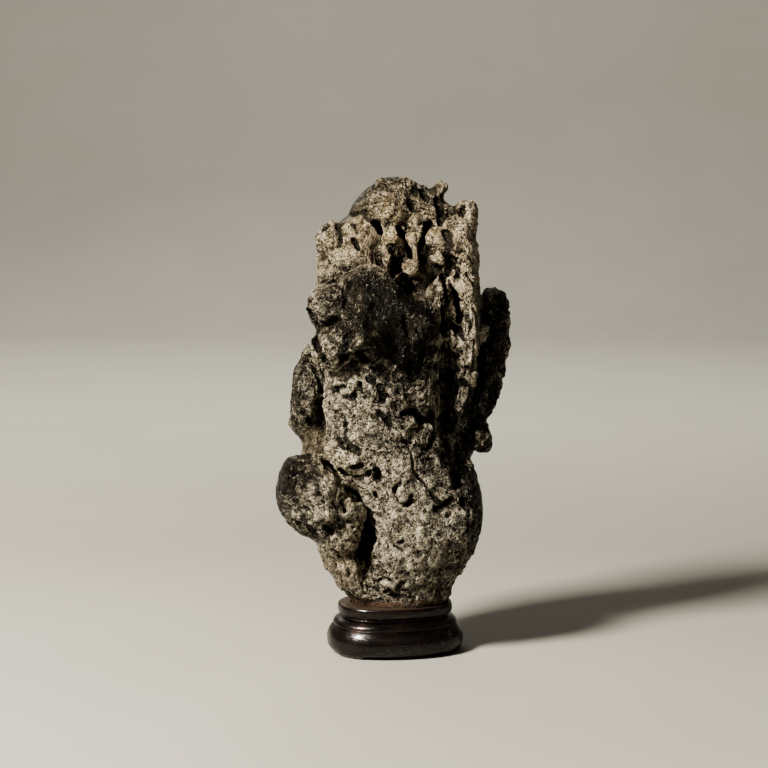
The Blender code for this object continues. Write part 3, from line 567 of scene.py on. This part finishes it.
def skin_ahead(field, across, up):
    """The point where a line going back from the front first meets the stone."""
    i, k = ((np.array([across, up]) - GRID_LOW[[0, 2]]) / GRID_STEP).round().astype(int)
    inside = np.flatnonzero(field[i, :, k] < 0)
    if len(inside) == 0:
        return None
    return np.array([across, GRID_LOW[1] + inside[0] * GRID_STEP, up])


def add_lumps(field):
    for radius, out, place in (*LUMPS.values(), *FINE_LUMPS.values()):
        skin = skin_ahead(field, *place)
        if skin is not None:
            centre = skin + np.array([0, radius - out, 0])
            ball_into(field, centre, radius, LUMP_FILLET * radius, joined)


def groove_balls(field):
    """The balls that cut the grooves: where each is on the uncut skin, radius and depth."""
    balls = []
    for radius, depth, path in (*GROOVES.values(), *FINE_GROOVES.values()):
        for start, end in zip(path, (*path[1:], path[-1])):
            start, end = np.array(start), np.array(end)
            steps = max(1, math.ceil(np.linalg.norm(end - start) / (GROOVE_PACE * radius)))
            for step in range(steps):
                skin = skin_ahead(field, *(start + (end - start) * step / steps))
                if skin is not None:
                    balls.append((skin, radius, depth))
    return balls


def cut_grooves(field, balls):
    stray_size, stray = GROOVE_STRAY
    swell_size, swell = GROOVE_SWELL
    for skin, radius, depth in balls:
        layers = 1 + math.ceil(2 * depth / radius)
        place = Vector(skin)
        aside = stray * radius * np.array(noise.noise_vector(place / stray_size))
        sharp = SHARPER * radius * (1 + swell * noise.noise(place / swell_size))
        for sunk in np.linspace(0, depth, layers):
            ball_into(field, skin + aside + np.array([0, sunk, 0]), sharp, GROOVE_FILLET, cut)


def stone_field():
    """The stone on the grid, below 0 inside it, and the balls that cut its grooves."""
    field = np.full(GRID_COUNTS, 1e3)
    for lobe in LOBES.values():
        window = window_round(lobe)
        near = distance_to(lobe, grid_points(window))
        field[window] = joined(field[window], near, lobe.blend)
    for hollow in HOLLOWS.values():
        window = window_round(hollow)
        near = distance_to(hollow, rumpled(grid_points(window), hollow))
        field[window] = cut(field[window], near, hollow.blend)
    add_lumps(field)
    balls = groove_balls(field)
    cut_grooves(field, balls)
    top = int((FOOT_TOP - GRID_LOW[2]) / GRID_STEP)
    window = (slice(0, GRID_COUNTS[0]), slice(0, GRID_COUNTS[1]), slice(0, top))
    points = grid_points(window)
    seat = STAND_HEIGHT - SEAT_DEPTH + SEAT_GAP
    field[window] = np.maximum(field[window], foot_plug(points))
    field[window] = np.maximum(field[window], seat - points[..., 2])
    return field, balls


def skin_of(values):
    """Vertices, in grid steps, and quads of the surface where the values change sign.

    Each grid cell that the surface crosses gets one vertex, at the mean of the crossings on
    its edges, and each crossed edge gets one quad, through the four cells around it.
    """
    cells = tuple(n - 1 for n in values.shape)
    sums = np.zeros((*cells, 3))
    counts = np.zeros(cells)
    rings = []
    for axis in range(3):
        across, along = (axis + 1) % 3, (axis + 2) % 3
        first = np.delete(values, -1, axis)
        second = np.delete(values, 0, axis)
        edges = np.argwhere((first < 0) != (second < 0))
        before = first[tuple(edges.T)]
        after = second[tuple(edges.T)]
        crossing = edges.astype(float)
        crossing[:, axis] += before / (before - after)
        ring = []
        for low_across, low_along in ((1, 1), (0, 1), (0, 0), (1, 0)):
            cell = edges.copy()
            cell[:, across] -= low_across
            cell[:, along] -= low_along
            np.add.at(sums, tuple(cell.T), crossing)
            np.add.at(counts, tuple(cell.T), 1)
            ring.append(np.ravel_multi_index(tuple(cell.T), cells))
        ring = np.stack(ring, axis=1)
        rings.append(np.where((before < 0)[:, None], ring, ring[:, ::-1]))
    used = np.flatnonzero(counts)
    number = np.full(counts.size, -1)
    number[used] = np.arange(len(used))
    vertices = sums.reshape(-1, 3)[used] / counts.reshape(-1, 1)[used]
    return vertices, number[np.concatenate(rings)]


def patches_at(patches, points, flat=1.35):
    """The sum of soft-edged patches at each point. flat is 1 for a peak at each centre."""
    total = np.zeros(len(points))
    for centre, radii, amount in patches:
        away = np.linalg.norm((points - centre) / np.array(radii), axis=1)
        total += amount * np.clip(flat - away, 0, 1)
    return total


def swell_and_nodules(point):
    """The relief that the solid has too."""
    place = point + WEATHER_SEED
    size, height = SWELL
    rise = height * noise.noise(place / size)
    for size, height in NODULES:
        nearest = noise.voronoi(place / size)[0][0]
        rise += height * (CELL_MEAN - nearest)
    return rise


def in_grooves(balls, points):
    """1 for the points in a groove, falling to 0 just outside it."""
    tree = kdtree.KDTree(len(balls))
    for number, (skin, _, _) in enumerate(balls):
        tree.insert(skin, number)
    tree.balance()
    found = []
    for point in points:
        _, number, away = tree.find(point)
        found.append(1 - (away - SHARPER * balls[number][1]) / GROOVE_EDGE)
    return np.clip(found, 0, 1)


def fine_relief(point, stretch):
    """Nodules of a few millimetres, with pits and worm tracks eaten into them.

    A stretch under 1 draws them out up and down.
    """
    drawn = Vector((point.x, point.y, point.z * stretch))
    size, amount = BEND
    bent = drawn + amount * noise.noise_vector(drawn / size)
    size, height = FINE_NODULE
    rise = height * (CELL_MEAN - noise.voronoi(bent / size)[0][0])
    rise += sum(height * noise.noise(bent / size) for size, height in FINE_WAVES)
    size, depth = TRACK
    track = abs(noise.noise(bent / size + TRACK_SEED))
    rise -= depth * max(0.0, 1 - track / TRACK_WIDTH)
    size, depth = PIT
    pit = noise.noise(bent / size + PIT_SEED)
    rise -= depth * max(0.0, pit - PIT_LEVEL)
    return rise


def normals_of(mesh):
    normals = np.empty(len(mesh.vertices) * 3, np.float32)
    mesh.vertices.foreach_get("normal", normals)
    return normals.reshape(-1, 3).astype(float)


def standing_out(mesh, points, rounds):
    """How far each vertex stands out from the mean of those around it, in millimetres."""
    ends = np.empty(len(mesh.edges) * 2, np.int32)
    mesh.edges.foreach_get("vertices", ends)
    first, second = ends.reshape(-1, 2).T
    to, by = np.concatenate([first, second]), np.concatenate([second, first])
    count = np.bincount(to, minlength=len(points))[:, None]
    mean = points
    for _ in range(rounds):
        sums = [np.bincount(to, mean[by, axis], len(points)) for axis in range(3)]
        mean = ROUND_KEEPS * mean + ROUND_SPREADS * np.stack(sums, axis=1) / count
    return ((points - mean) * normals_of(mesh)).sum(axis=1)


def store(mesh, name, values):
    layer = mesh.attributes.new(name, "FLOAT", "POINT")
    layer.data.foreach_set("value", np.asarray(values, np.float32))


def stone_mesh():
    """The stone's skin, weathered, with what its material needs to know at each vertex."""
    field, balls = stone_field()
    vertices, quads = skin_of(field)
    points = GRID_LOW + vertices * GRID_STEP
    mesh = bpy.data.meshes.new("stone_skin")
    mesh.from_pydata(points, [], quads.tolist())
    mesh.update()
    depth = np.clip(1 + patches_at(RUGGED, points, 1), *BITE_RANGE)
    depth *= np.clip((points[:, 2] - STAND_HEIGHT - BITE_START) / BITE_RAMP, 0, 1)
    crease = in_grooves(balls, points)
    coarse = np.array([swell_and_nodules(Vector(p)) for p in points]) * depth
    points = points + normals_of(mesh) * coarse[:, None]
    mesh.vertices.foreach_set("co", points.ravel())
    mesh.update()
    stretch = 1 - DRAWN_OUT * np.clip(patches_at(DRAWN, points), 0, 1)
    fine = np.array([fine_relief(Vector(p), s) for p, s in zip(points, stretch)])
    calm = np.clip(patches_at(SMOOTH, points), 0, SMOOTHEST)
    fine *= (1 - CREASE_CALM * crease) * (1 - calm)
    points = points + normals_of(mesh) * (fine * depth)[:, None]
    mesh.vertices.foreach_set("co", points.ravel())
    mesh.update()
    relief = sum(weight * standing_out(mesh, points, rounds) for rounds, weight in STANDING_OUT)
    polish_and_shade = patches_at(POLISH_AND_SHADE, points) - patches_at(CREAM, points)
    store(mesh, "crease", crease)
    store(mesh, "polish_and_shade", np.clip(POLISH_BASE + POLISH_SPAN * polish_and_shade, 0, 1))
    store(mesh, "relief", np.clip(0.5 + relief, 0, 1))
    for name, patches in (("bare", BARE), ("warm", WARM)):
        store(mesh, name, np.clip(patches_at(patches, points), 0, 1))
    mesh.vertices.foreach_set("co", ((points + place_of("stand")) * MM).ravel())
    mesh.update()
    mesh.shade_smooth()
    return mesh


def thin(piece, triangles):
    """Thins a mesh to this many triangles, the flattest places first."""
    faces = sum(len(p.vertices) - 2 for p in piece.data.polygons)
    thinned = piece.modifiers.new("thinned", "DECIMATE")
    thinned.ratio = min(1, triangles / faces)


# ---- materials

# Where a colour is a pair, it runs from the first to the second.
DARK_STONE = ((0.011, 0.009, 0.0065), (0.056, 0.047, 0.034))
GREY_CRUST = ((0.46, 0.40, 0.30), (0.95, 0.87, 0.70))
SAND_CRUST = ((0.44, 0.34, 0.21), (0.90, 0.78, 0.58))
RUST = ((0.08, 0.04, 0.021), (0.42, 0.24, 0.145))
ROSEWOOD = ((0.003, 0.0018, 0.0013), (0.015, 0.006, 0.004))
WOOD_RED = (0.10, 0.032, 0.017)
WOOD_DUST = (0.11, 0.075, 0.05)
FLOOR_PALE = ((0.48, 0.47, 0.42), (0.53, 0.52, 0.47))

# The skin's wrinkles, in two sizes: waves per millimetre, width and twist.
WRINKLES = ((0.42, 0.020, 2.6), (1.0, 0.036, 1.3))
# The rust stain's upper edge: its least height, how far it wanders, and how soft it is.
STAIN_LOW = 14.0
STAIN_WANDER = 9.0
STAIN_EDGE = 1.5


class Graph:
    """A material's nodes, made and wired with short calls."""

    def __init__(self, name):
        self.material = bpy.data.materials.new(name)
        self.material.use_nodes = True
        self.tree = self.material.node_tree
        self.shader = self.tree.nodes["Principled BSDF"]

    def node(self, kind, **settings):
        made = self.tree.nodes.new("ShaderNode" + kind)
        for name, value in settings.items():
            setattr(made, name, value)
        return made

    def put(self, value, socket):
        if isinstance(value, bpy.types.NodeSocket):
            self.tree.links.new(value, socket)
        else:
            socket.default_value = value

    def math(self, operation, *values, clamp=False):
        made = self.node("Math", operation=operation, use_clamp=clamp)
        for value, socket in zip(values, made.inputs):
            self.put(value, socket)
        return made.outputs[0]

    def add(self, first, second):
        return self.math("ADD", first, second)

    def times(self, first, second):
        return self.math("MULTIPLY", first, second)

    def scaled(self, value, factor, offset, clamp=False):
        """A value times a factor, with an offset added."""
        return self.math("MULTIPLY_ADD", value, factor, offset, clamp=clamp)

    def place(self, scale=(1, 1, 1)):
        """The point in the CAD frame, in millimetres, stretched by a scale."""
        made = self.node("Mapping")
        made.inputs["Scale"].default_value = [s / MM for s in scale]
        self.put(self.node("TexCoord").outputs["Object"], made.inputs["Vector"])
        return made.outputs[0]

    def noise(self, place, per_mm, detail, rough=0.5, twist=0.0):
        made = self.node("TexNoise")
        self.put(place, made.inputs["Vector"])
        for name, value in (
            ("Scale", per_mm), ("Detail", detail), ("Roughness", rough), ("Distortion", twist)
        ):
            made.inputs[name].default_value = value
        return made.outputs[0]

    def bent(self, place, per_mm, amount):
        """A place moved about by a noise, so that what is drawn there wanders."""
        wander = self.node("TexNoise")
        self.put(place, wander.inputs["Vector"])
        wander.inputs["Scale"].default_value = per_mm
        wander.inputs["Detail"].default_value = 2.0
        middle = self.node("VectorMath", operation="SUBTRACT")
        self.put(wander.outputs["Color"], middle.inputs[0])
        middle.inputs[1].default_value = (0.5, 0.5, 0.5)
        made = self.node("VectorMath", operation="MULTIPLY_ADD")
        self.put(middle.outputs[0], made.inputs[0])
        made.inputs[1].default_value = (amount, amount, amount)
        self.put(place, made.inputs[2])
        return made.outputs[0]

    def ramp(self, value, low, high, start=0.0, end=1.0):
        made = self.node("MapRange", interpolation_type="SMOOTHSTEP")
        for value_in, socket in zip((value, low, high, start, end), made.inputs):
            self.put(value_in, socket)
        return made.outputs[0]

    def mix(self, share, first, second):
        made = self.node("Mix", data_type="RGBA")
        for value, socket in (
            (share, made.inputs["Factor"]), (first, made.inputs[6]), (second, made.inputs[7])
        ):
            if isinstance(value, tuple):
                value = (*value, 1)
            if isinstance(value, float) and socket.type == "RGBA":
                value = (value, value, value, 1)
            self.put(value, socket)
        return made.outputs[2]

    def swing(self, value, amount):
        """A value about 0.5 turned into one about 0, that swings this much."""
        return self.scaled(value, amount, -0.5 * amount)

    def attribute(self, name):
        return self.node("Attribute", attribute_name=name).outputs["Fac"]

    def bump(self, height, distance):
        """A height as a bump, whose full height is this distance in millimetres."""
        made = self.node("Bump")
        made.inputs["Distance"].default_value = distance * MM
        self.put(height, made.inputs["Height"])
        return made.outputs[0]

    def finish(self, colour, roughness, normal):
        self.put(colour, self.shader.inputs["Base Color"])
        self.put(roughness, self.shader.inputs["Roughness"])
        self.put(normal, self.shader.inputs["Normal"])
        return self.material


def wrinkles_of(g, place):
    """Thin wrinkles in short runs, which the material draws dark, partly as painted shade, and
    the folds of the skin that rise from them.

    A wrinkle lies where a twisted noise crosses its middle value.
    """
    runs = g.ramp(g.noise(place, 0.5, 2.0), 0.32, 0.47)
    total, folds = 0.0, 0.0
    for per_mm, width, twist in WRINKLES:
        value = g.noise(g.bent(place, 0.8 * per_mm, twist), per_mm, 1.0)
        away = g.math("ABSOLUTE", g.math("SUBTRACT", value, 0.5))
        line = g.times(g.ramp(away, 0.0, width, 1.0, 0.0), runs)
        total = g.math("MAXIMUM", total, line)
        folds = g.scaled(g.ramp(away, 0.0, 3.5 * width), 0.5, folds)
        runs = g.math("SUBTRACT", 1.0, runs)
    return total, folds


def stone_material():
    """A pale crust over dark stone, worn off in places, with a rust stain at the foot, and
    painted shade in its hollows, grooves, wrinkles and shaded sides.
    """
    g = Graph("weathered limestone")
    place = g.place()
    wander = g.bent(place, 0.45, 1.6)
    blotch = g.noise(place, 0.14, 3.0, 0.6)
    lump = g.noise(wander, 0.38, 3.0, 0.6)
    grain = g.noise(wander, 1.25, 3.0, 0.7)
    speck = g.noise(place, 2.8, 2.0, 0.6)
    polish_and_shade = g.attribute("polish_and_shade")
    relief = g.attribute("relief")
    bare = g.attribute("bare")
    warm = g.attribute("warm")
    crease = g.attribute("crease")
    wrinkles, folds = wrinkles_of(g, place)

    # How much crust is left. It clings to what stands out, and on the worn stone to the pits;
    # where it is thin the dark stone shows, which in the hollows, grooves and wrinkles is partly
    # painted shade.
    crust = g.add(g.swing(grain, 3.4), g.swing(speck, 4.0))
    crust = g.times(crust, g.scaled(polish_and_shade, -0.7, 1.25))
    crust = g.times(crust, g.scaled(warm, -0.12, 1.0))
    crust = g.add(crust, g.times(g.swing(lump, 5.0), polish_and_shade))
    crust = g.add(crust, g.swing(blotch, 1.2))
    crust = g.add(crust, g.swing(polish_and_shade, -1.7))
    # Painted shade in part: the crust is paler where the skin stands out and darker in its
    # hollows.
    crust_clinging_and_hollow_shade = g.times(g.swing(relief, 3.6), g.math("SUBTRACT", 1.0, polish_and_shade))
    crust = g.add(crust, crust_clinging_and_hollow_shade)
    crust = g.math("SUBTRACT", crust, 0.3)
    least = g.scaled(polish_and_shade, 0.5, -1.15)
    crust_after_painted_shade = g.ramp(crust, least, 0.7)
    # Painted shade: the crust is taken off along the wrinkles and thinned in the grooves, so that
    # both come out dark.
    crust_after_painted_shade = g.times(crust_after_painted_shade, g.scaled(wrinkles, -0.95, 1.0))
    crust_after_painted_shade = g.times(crust_after_painted_shade, g.scaled(crease, -0.4, 1.0))
    crust_after_painted_shade = g.mix(g.times(bare, 0.8), crust_after_painted_shade, 0.22)

    dark = g.mix(g.ramp(blotch, 0.35, 0.65), *DARK_STONE)
    pale = g.ramp(g.scaled(grain, 0.4, lump), 0.5, 0.9)
    grey = g.mix(pale, *GREY_CRUST)
    sand = g.mix(pale, *SAND_CRUST)
    colour = g.mix(crust_after_painted_shade, dark, g.mix(warm, grey, sand))

    stain_height = g.scaled(blotch, STAIN_WANDER, STAIN_LOW)
    height = g.node("SeparateXYZ")
    g.put(place, height.inputs[0])
    under = g.math("SUBTRACT", stain_height, STAIN_EDGE)
    stained = g.ramp(height.outputs["Z"], under, stain_height, 1.0, 0.0)
    rust = g.mix(grain, *RUST)
    colour = g.mix(g.times(stained, 0.8), colour, rust)

    # The worn stone is glossy and even, and the rest is rough with its grain and crust.
    worn = g.math("SUBTRACT", polish_and_shade, g.times(crust_after_painted_shade, 0.3), clamp=True)
    rough = g.scaled(worn, -0.29, 0.42)
    rough = g.scaled(speck, 0.1, rough)

    raised = g.scaled(crust_after_painted_shade, 0.8, g.times(grain, 1.1))
    raised = g.scaled(speck, 0.4, raised)
    soft = g.scaled(worn, -0.85, 1.0, clamp=True)
    raised = g.times(raised, soft)
    dents = g.noise(wander, 0.8, 1.0)
    raised = g.scaled(g.times(dents, worn), 1.5, raised)
    raised = g.scaled(folds, 0.7, raised)
    raised = g.scaled(wrinkles, -0.7, raised)
    return g.finish(colour, rough, g.bump(raised, 1.3))


def wood_material():
    """Waxed dark wood with a grain along its length, red patches, pores and dust on top."""
    g = Graph("dark rosewood")
    along = g.place((0.12, 1, 1))
    grain = g.noise(along, 0.9, 4.0, 0.6, 0.6)
    pores = g.noise(g.place((0.25, 2.2, 2.2)), 1.6, 2.0, 0.5)
    wear = g.noise(g.place(), 0.12, 3.0, 0.6)
    streak = g.ramp(grain, 0.42, 0.62)
    colour = g.mix(streak, *ROSEWOOD)
    red = g.ramp(wear, 0.60, 0.74)
    colour = g.mix(g.times(red, 0.5), colour, WOOD_RED)
    dust = g.attribute("dust")
    colour = g.mix(g.times(dust, 0.7), colour, WOOD_DUST)
    rough = g.scaled(wear, 0.24, 0.2)
    rough = g.scaled(dust, 0.5, rough)
    pits = g.ramp(pores, 0.34, 0.46)
    height = g.scaled(grain, 0.25, pits)
    g.shader.inputs["Coat Weight"].default_value = 0.4
    g.shader.inputs["Coat Roughness"].default_value = 0.14
    return g.finish(colour, rough, g.bump(height, 0.3))


def floor_material():
    g = Graph("pale studio floor")
    tone = g.noise(g.place(), 0.01, 2.0)
    g.put(g.mix(tone, *FLOOR_PALE), g.shader.inputs["Base Color"])
    g.shader.inputs["Roughness"].default_value = 0.8
    return g.material


# ---- the stand

# Its side, from the underside up: how far it stands out from the lip, and its height.
MOULDING = (
    (1.3, 0.0), (1.9, 0.05), (2.5, 0.35), (2.95, 0.9), (3.3, 1.7), (3.52, 2.8), (3.6, 3.9),
    (3.52, 5.0), (3.25, 6.1), (2.8, 7.1), (2.2, 8.0), (1.85, 8.45), (1.62, 8.62), (1.5, 8.8),
    (1.62, 8.98), (1.6, 9.25), (1.45, 9.7), (1.05, 10.25), (0.45, 10.75), (-0.2, 11.1),
    (-0.75, 11.32), (-0.98, 11.5), (-1.02, 11.8), (-0.9, 12.05), (-0.5, 12.18),
    (-0.15, 12.4), (0.02, 12.75), (0.08, 13.4), (0.08, 14.2), (0.0, 14.8), (-0.2, 15.2),
    (-0.55, 15.43), (-1.0, 15.5), (-1.6, 15.5),
)
STAND_SIDES = 192
# How far down the seat's rim is square, and the rings that carry the underside inwards.
SEAT_RIM = 0.5
UNDER_RINGS = (0.985, 0.9, 0.8)
# Between the feet the underside is cut away this far from the middle, with a soft edge.
FEET_APART = (13.6, 7.2)
FOOT_EDGE = 1.6
# The arches fade out up the moulding by this height.
ARCH_FADE = 2.5
# The unevenness of hand work: sizes of its waves and how far they reach.
HAND_WORK = ((5.0, 0.12), (1.7, 0.05))
# The dust lies from this height up, and is full so much higher.
DUST_FROM = 15.2
DUST_RAMP = 0.3
SHARP_ANGLE = math.radians(50)


def outline(half_length, half_depth):
    """Points round a full oval, squarer than an ellipse."""
    angles = 2 * np.pi * np.arange(STAND_SIDES) / STAND_SIDES
    x, y = np.cos(angles), np.sin(angles)
    reach = (np.abs(x) ** OUTLINE_POWER + np.abs(y) ** OUTLINE_POWER) ** (-1 / OUTLINE_POWER)
    return np.stack([half_length * x * reach, half_depth * y * reach], axis=1)


def foot_line(points):
    """How far the underside is cut away at each point: nothing at the four feet."""
    x, y = np.abs(points[:, 0]), np.abs(points[:, 1])
    between = np.maximum((FEET_APART[0] - x) / FOOT_EDGE, (FEET_APART[1] - y) / FOOT_EDGE)
    return FOOT_HEIGHT * np.clip(between, 0, 1)


def side_rings():
    """The rings of the stand's moulding, and those of its seat, from the underside up."""
    rings = []
    for out, height in MOULDING:
        ring = outline(LIP_LENGTH / 2 + out, LIP_DEPTH / 2 + out)
        lift = foot_line(ring) * max(0.0, 1 - height / ARCH_FADE)
        rings.append(np.column_stack([ring, height + lift]))
    # The seat lies square to the stone, which the stand is turned under.
    cos, sin = math.cos(-STAND_TURN), math.sin(-STAND_TURN)
    seat = (outline(*SEAT_HALF) + SEAT_CENTRE) @ np.array([[cos, sin], [-sin, cos]])
    for depth in (0, SEAT_RIM, SEAT_DEPTH):
        rings.append(np.column_stack([seat, np.full(STAND_SIDES, STAND_HEIGHT - depth)]))
    return rings


def join_rings(form, first, second, facing_down=False):
    for i in range(STAND_SIDES):
        j = (i + 1) % STAND_SIDES
        a, b = (j, i) if facing_down else (i, j)
        form.faces.new((first[a], first[b], second[b], second[a]))


def stand_form():
    """The stand in millimetres, before it is turned and worked by hand."""
    rings = side_rings()
    form = bmesh.new()
    loops = [[form.verts.new(p) for p in ring] for ring in rings]
    for lower, upper in zip(loops, loops[1:]):
        join_rings(form, lower, upper)
    form.faces.new(loops[-1])
    under = [loops[0]]
    for share in UNDER_RINGS:
        ring = rings[0][:, :2] * share
        lift = foot_line(ring)
        under.append([form.verts.new((x, y, z)) for (x, y), z in zip(ring, lift)])
    for outer, inner in zip(under, under[1:]):
        join_rings(form, outer, inner, facing_down=True)
    form.faces.new(list(reversed(under[-1])))
    return form


def stand_mesh():
    """The stand's wood, with where dust lies on it."""
    form = stand_form()
    turn = Euler((0, 0, STAND_TURN)).to_matrix()
    shift = Vector(place_of("stand"))
    for vertex in form.verts:
        hand = sum(amount * noise.noise(vertex.co / size) for size, amount in HAND_WORK)
        vertex.co += Vector((vertex.co.x, vertex.co.y, 0)).normalized() * hand
        vertex.co = (turn @ vertex.co + shift) * MM
    mesh = bpy.data.meshes.new("stand_wood")
    form.to_mesh(mesh)
    form.free()
    heights = np.array([v.co.z for v in mesh.vertices]) / MM
    store(mesh, "dust", np.clip((heights - DUST_FROM) / DUST_RAMP, 0, 1))
    mesh.shade_smooth()
    mesh.set_sharp_from_angle(angle=SHARP_ANGLE)
    return mesh


# ---- the scene

# The floor, in metres: it is flat from its front to the start of its sweep, turns up on a
# radius, and goes on as a wall. Rows are those of its mesh.
FLOOR_FRONT = -12.0
FLOOR_HALF_WIDTH = 12.0
SWEEP_START = 1.2
SWEEP_RADIUS = 0.8
WALL_HEIGHT = 1.0
FLAT_ROWS = 4
SWEEP_ROWS = 16
WALL_ROWS = 4

# The camera, fitted to the photo: its place in metres, and how far it looks down.
CAMERA_PLACE = (-0.0035, -0.600, 0.1484)
CAMERA_DOWN = 6.05
SENSOR_WIDTH = 36.0
LENS = 89.8
CAMERA_CLIP = (0.01, 20)

# Square lights that face a point in the stone: each one's azimuth, to the left of the
# camera, its elevation, how far away it is, its size, power and colour.
LIT_POINT = Vector((0, 0, 0.08))
LIGHTS = {
    "key": (52, 38, 0.9, 0.20, 15.0, (1.0, 0.94, 0.84)),
    "fill": (-14, 25, 1.4, 0.8, 0.7, (1.0, 0.93, 0.84)),
    "rear": (165, 35, 1.4, 1.0, 3.0, (1.0, 0.95, 0.88)),
}
# A light behind the stone that faces away from it and lifts the wall.
BACKDROP_PLACE = (0, 0.5, 1.0)
BACKDROP_TILT = 72
BACKDROP_SIZE = 1.2
BACKDROP_POWER = 10.0
BACKDROP_COLOUR = (1.0, 0.97, 0.90)
WORLD_COLOUR = (0.85, 0.83, 0.80, 1)
WORLD_STRENGTH = 0.06


def add_object(name, data):
    made = bpy.data.objects.new(name, data)
    bpy.context.scene.collection.objects.link(made)
    return made


def add_piece(name, mesh, material, node):
    piece = add_object(name, mesh)
    mesh.materials.append(material)
    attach(piece, "root")
    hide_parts(node)
    return piece


def floor_profile():
    """How far back and how high each row of the floor is."""
    pace = (SWEEP_START - FLOOR_FRONT) / FLAT_ROWS
    rows = [(FLOOR_FRONT + i * pace, 0.0) for i in range(FLAT_ROWS)]
    for i in range(SWEEP_ROWS + 1):
        angle = math.radians(90 * i / SWEEP_ROWS)
        back = SWEEP_START + SWEEP_RADIUS * math.sin(angle)
        rows.append((back, SWEEP_RADIUS * (1 - math.cos(angle))))
    for i in range(1, WALL_ROWS + 1):
        rows.append((SWEEP_START + SWEEP_RADIUS, SWEEP_RADIUS + WALL_HEIGHT * i / WALL_ROWS))
    return rows


def add_floor():
    """A floor that sweeps up far behind into a wall, so that there is no horizon line."""
    form = bmesh.new()
    edges = (-FLOOR_HALF_WIDTH, FLOOR_HALF_WIDTH)
    rows = [[form.verts.new((x, y, z)) for x in edges] for y, z in floor_profile()]
    for lower, upper in zip(rows, rows[1:]):
        form.faces.new((lower[0], lower[1], upper[1], upper[0]))
    mesh = bpy.data.meshes.new("floor")
    form.to_mesh(mesh)
    form.free()
    mesh.shade_smooth()
    floor = add_object("floor", mesh)
    mesh.materials.append(floor_material())


def add_camera():
    data = bpy.data.cameras.new("camera")
    data.sensor_width = SENSOR_WIDTH
    data.lens = LENS
    data.clip_start, data.clip_end = CAMERA_CLIP
    camera = add_object("camera", data)
    camera.location = CAMERA_PLACE
    camera.rotation_euler = (math.radians(90 - CAMERA_DOWN), 0, 0)
    bpy.context.scene.camera = camera


def area_light(name, size, power, colour):
    data = bpy.data.lights.new(name, "AREA")
    data.size = size
    data.energy = power
    data.color = colour
    return add_object(name, data)


def add_lights():
    for name, (azimuth, elevation, away, size, power, colour) in LIGHTS.items():
        light = area_light(name, size, power, colour)
        a, e = math.radians(azimuth), math.radians(elevation)
        way = Vector((-math.sin(a) * math.cos(e), -math.cos(a) * math.cos(e), math.sin(e)))
        light.location = LIT_POINT + way * away
        light.rotation_euler = way.to_track_quat("Z", "Y").to_euler()
    light = area_light("backdrop", BACKDROP_SIZE, BACKDROP_POWER, BACKDROP_COLOUR)
    light.location = BACKDROP_PLACE
    light.rotation_euler = (math.radians(BACKDROP_TILT), 0, 0)


def add_world():
    world = bpy.data.worlds.new("studio")
    world.use_nodes = True
    background = world.node_tree.nodes["Background"]
    background.inputs["Color"].default_value = WORLD_COLOUR
    background.inputs["Strength"].default_value = WORLD_STRENGTH
    bpy.context.scene.world = world


def main():
    noise.seed_set(NOISE_SEED)
    stone = add_piece(
        "stone_skin", stone_mesh(), stone_material(), "stone"
    )
    thin(stone, STONE_TRIANGLES)
    add_piece("stand_wood", stand_mesh(), wood_material(), "stand")
    add_floor()
    add_camera()
    add_lights()
    add_world()
    bpy.context.scene.view_settings.look = "AgX - High Contrast"


main()
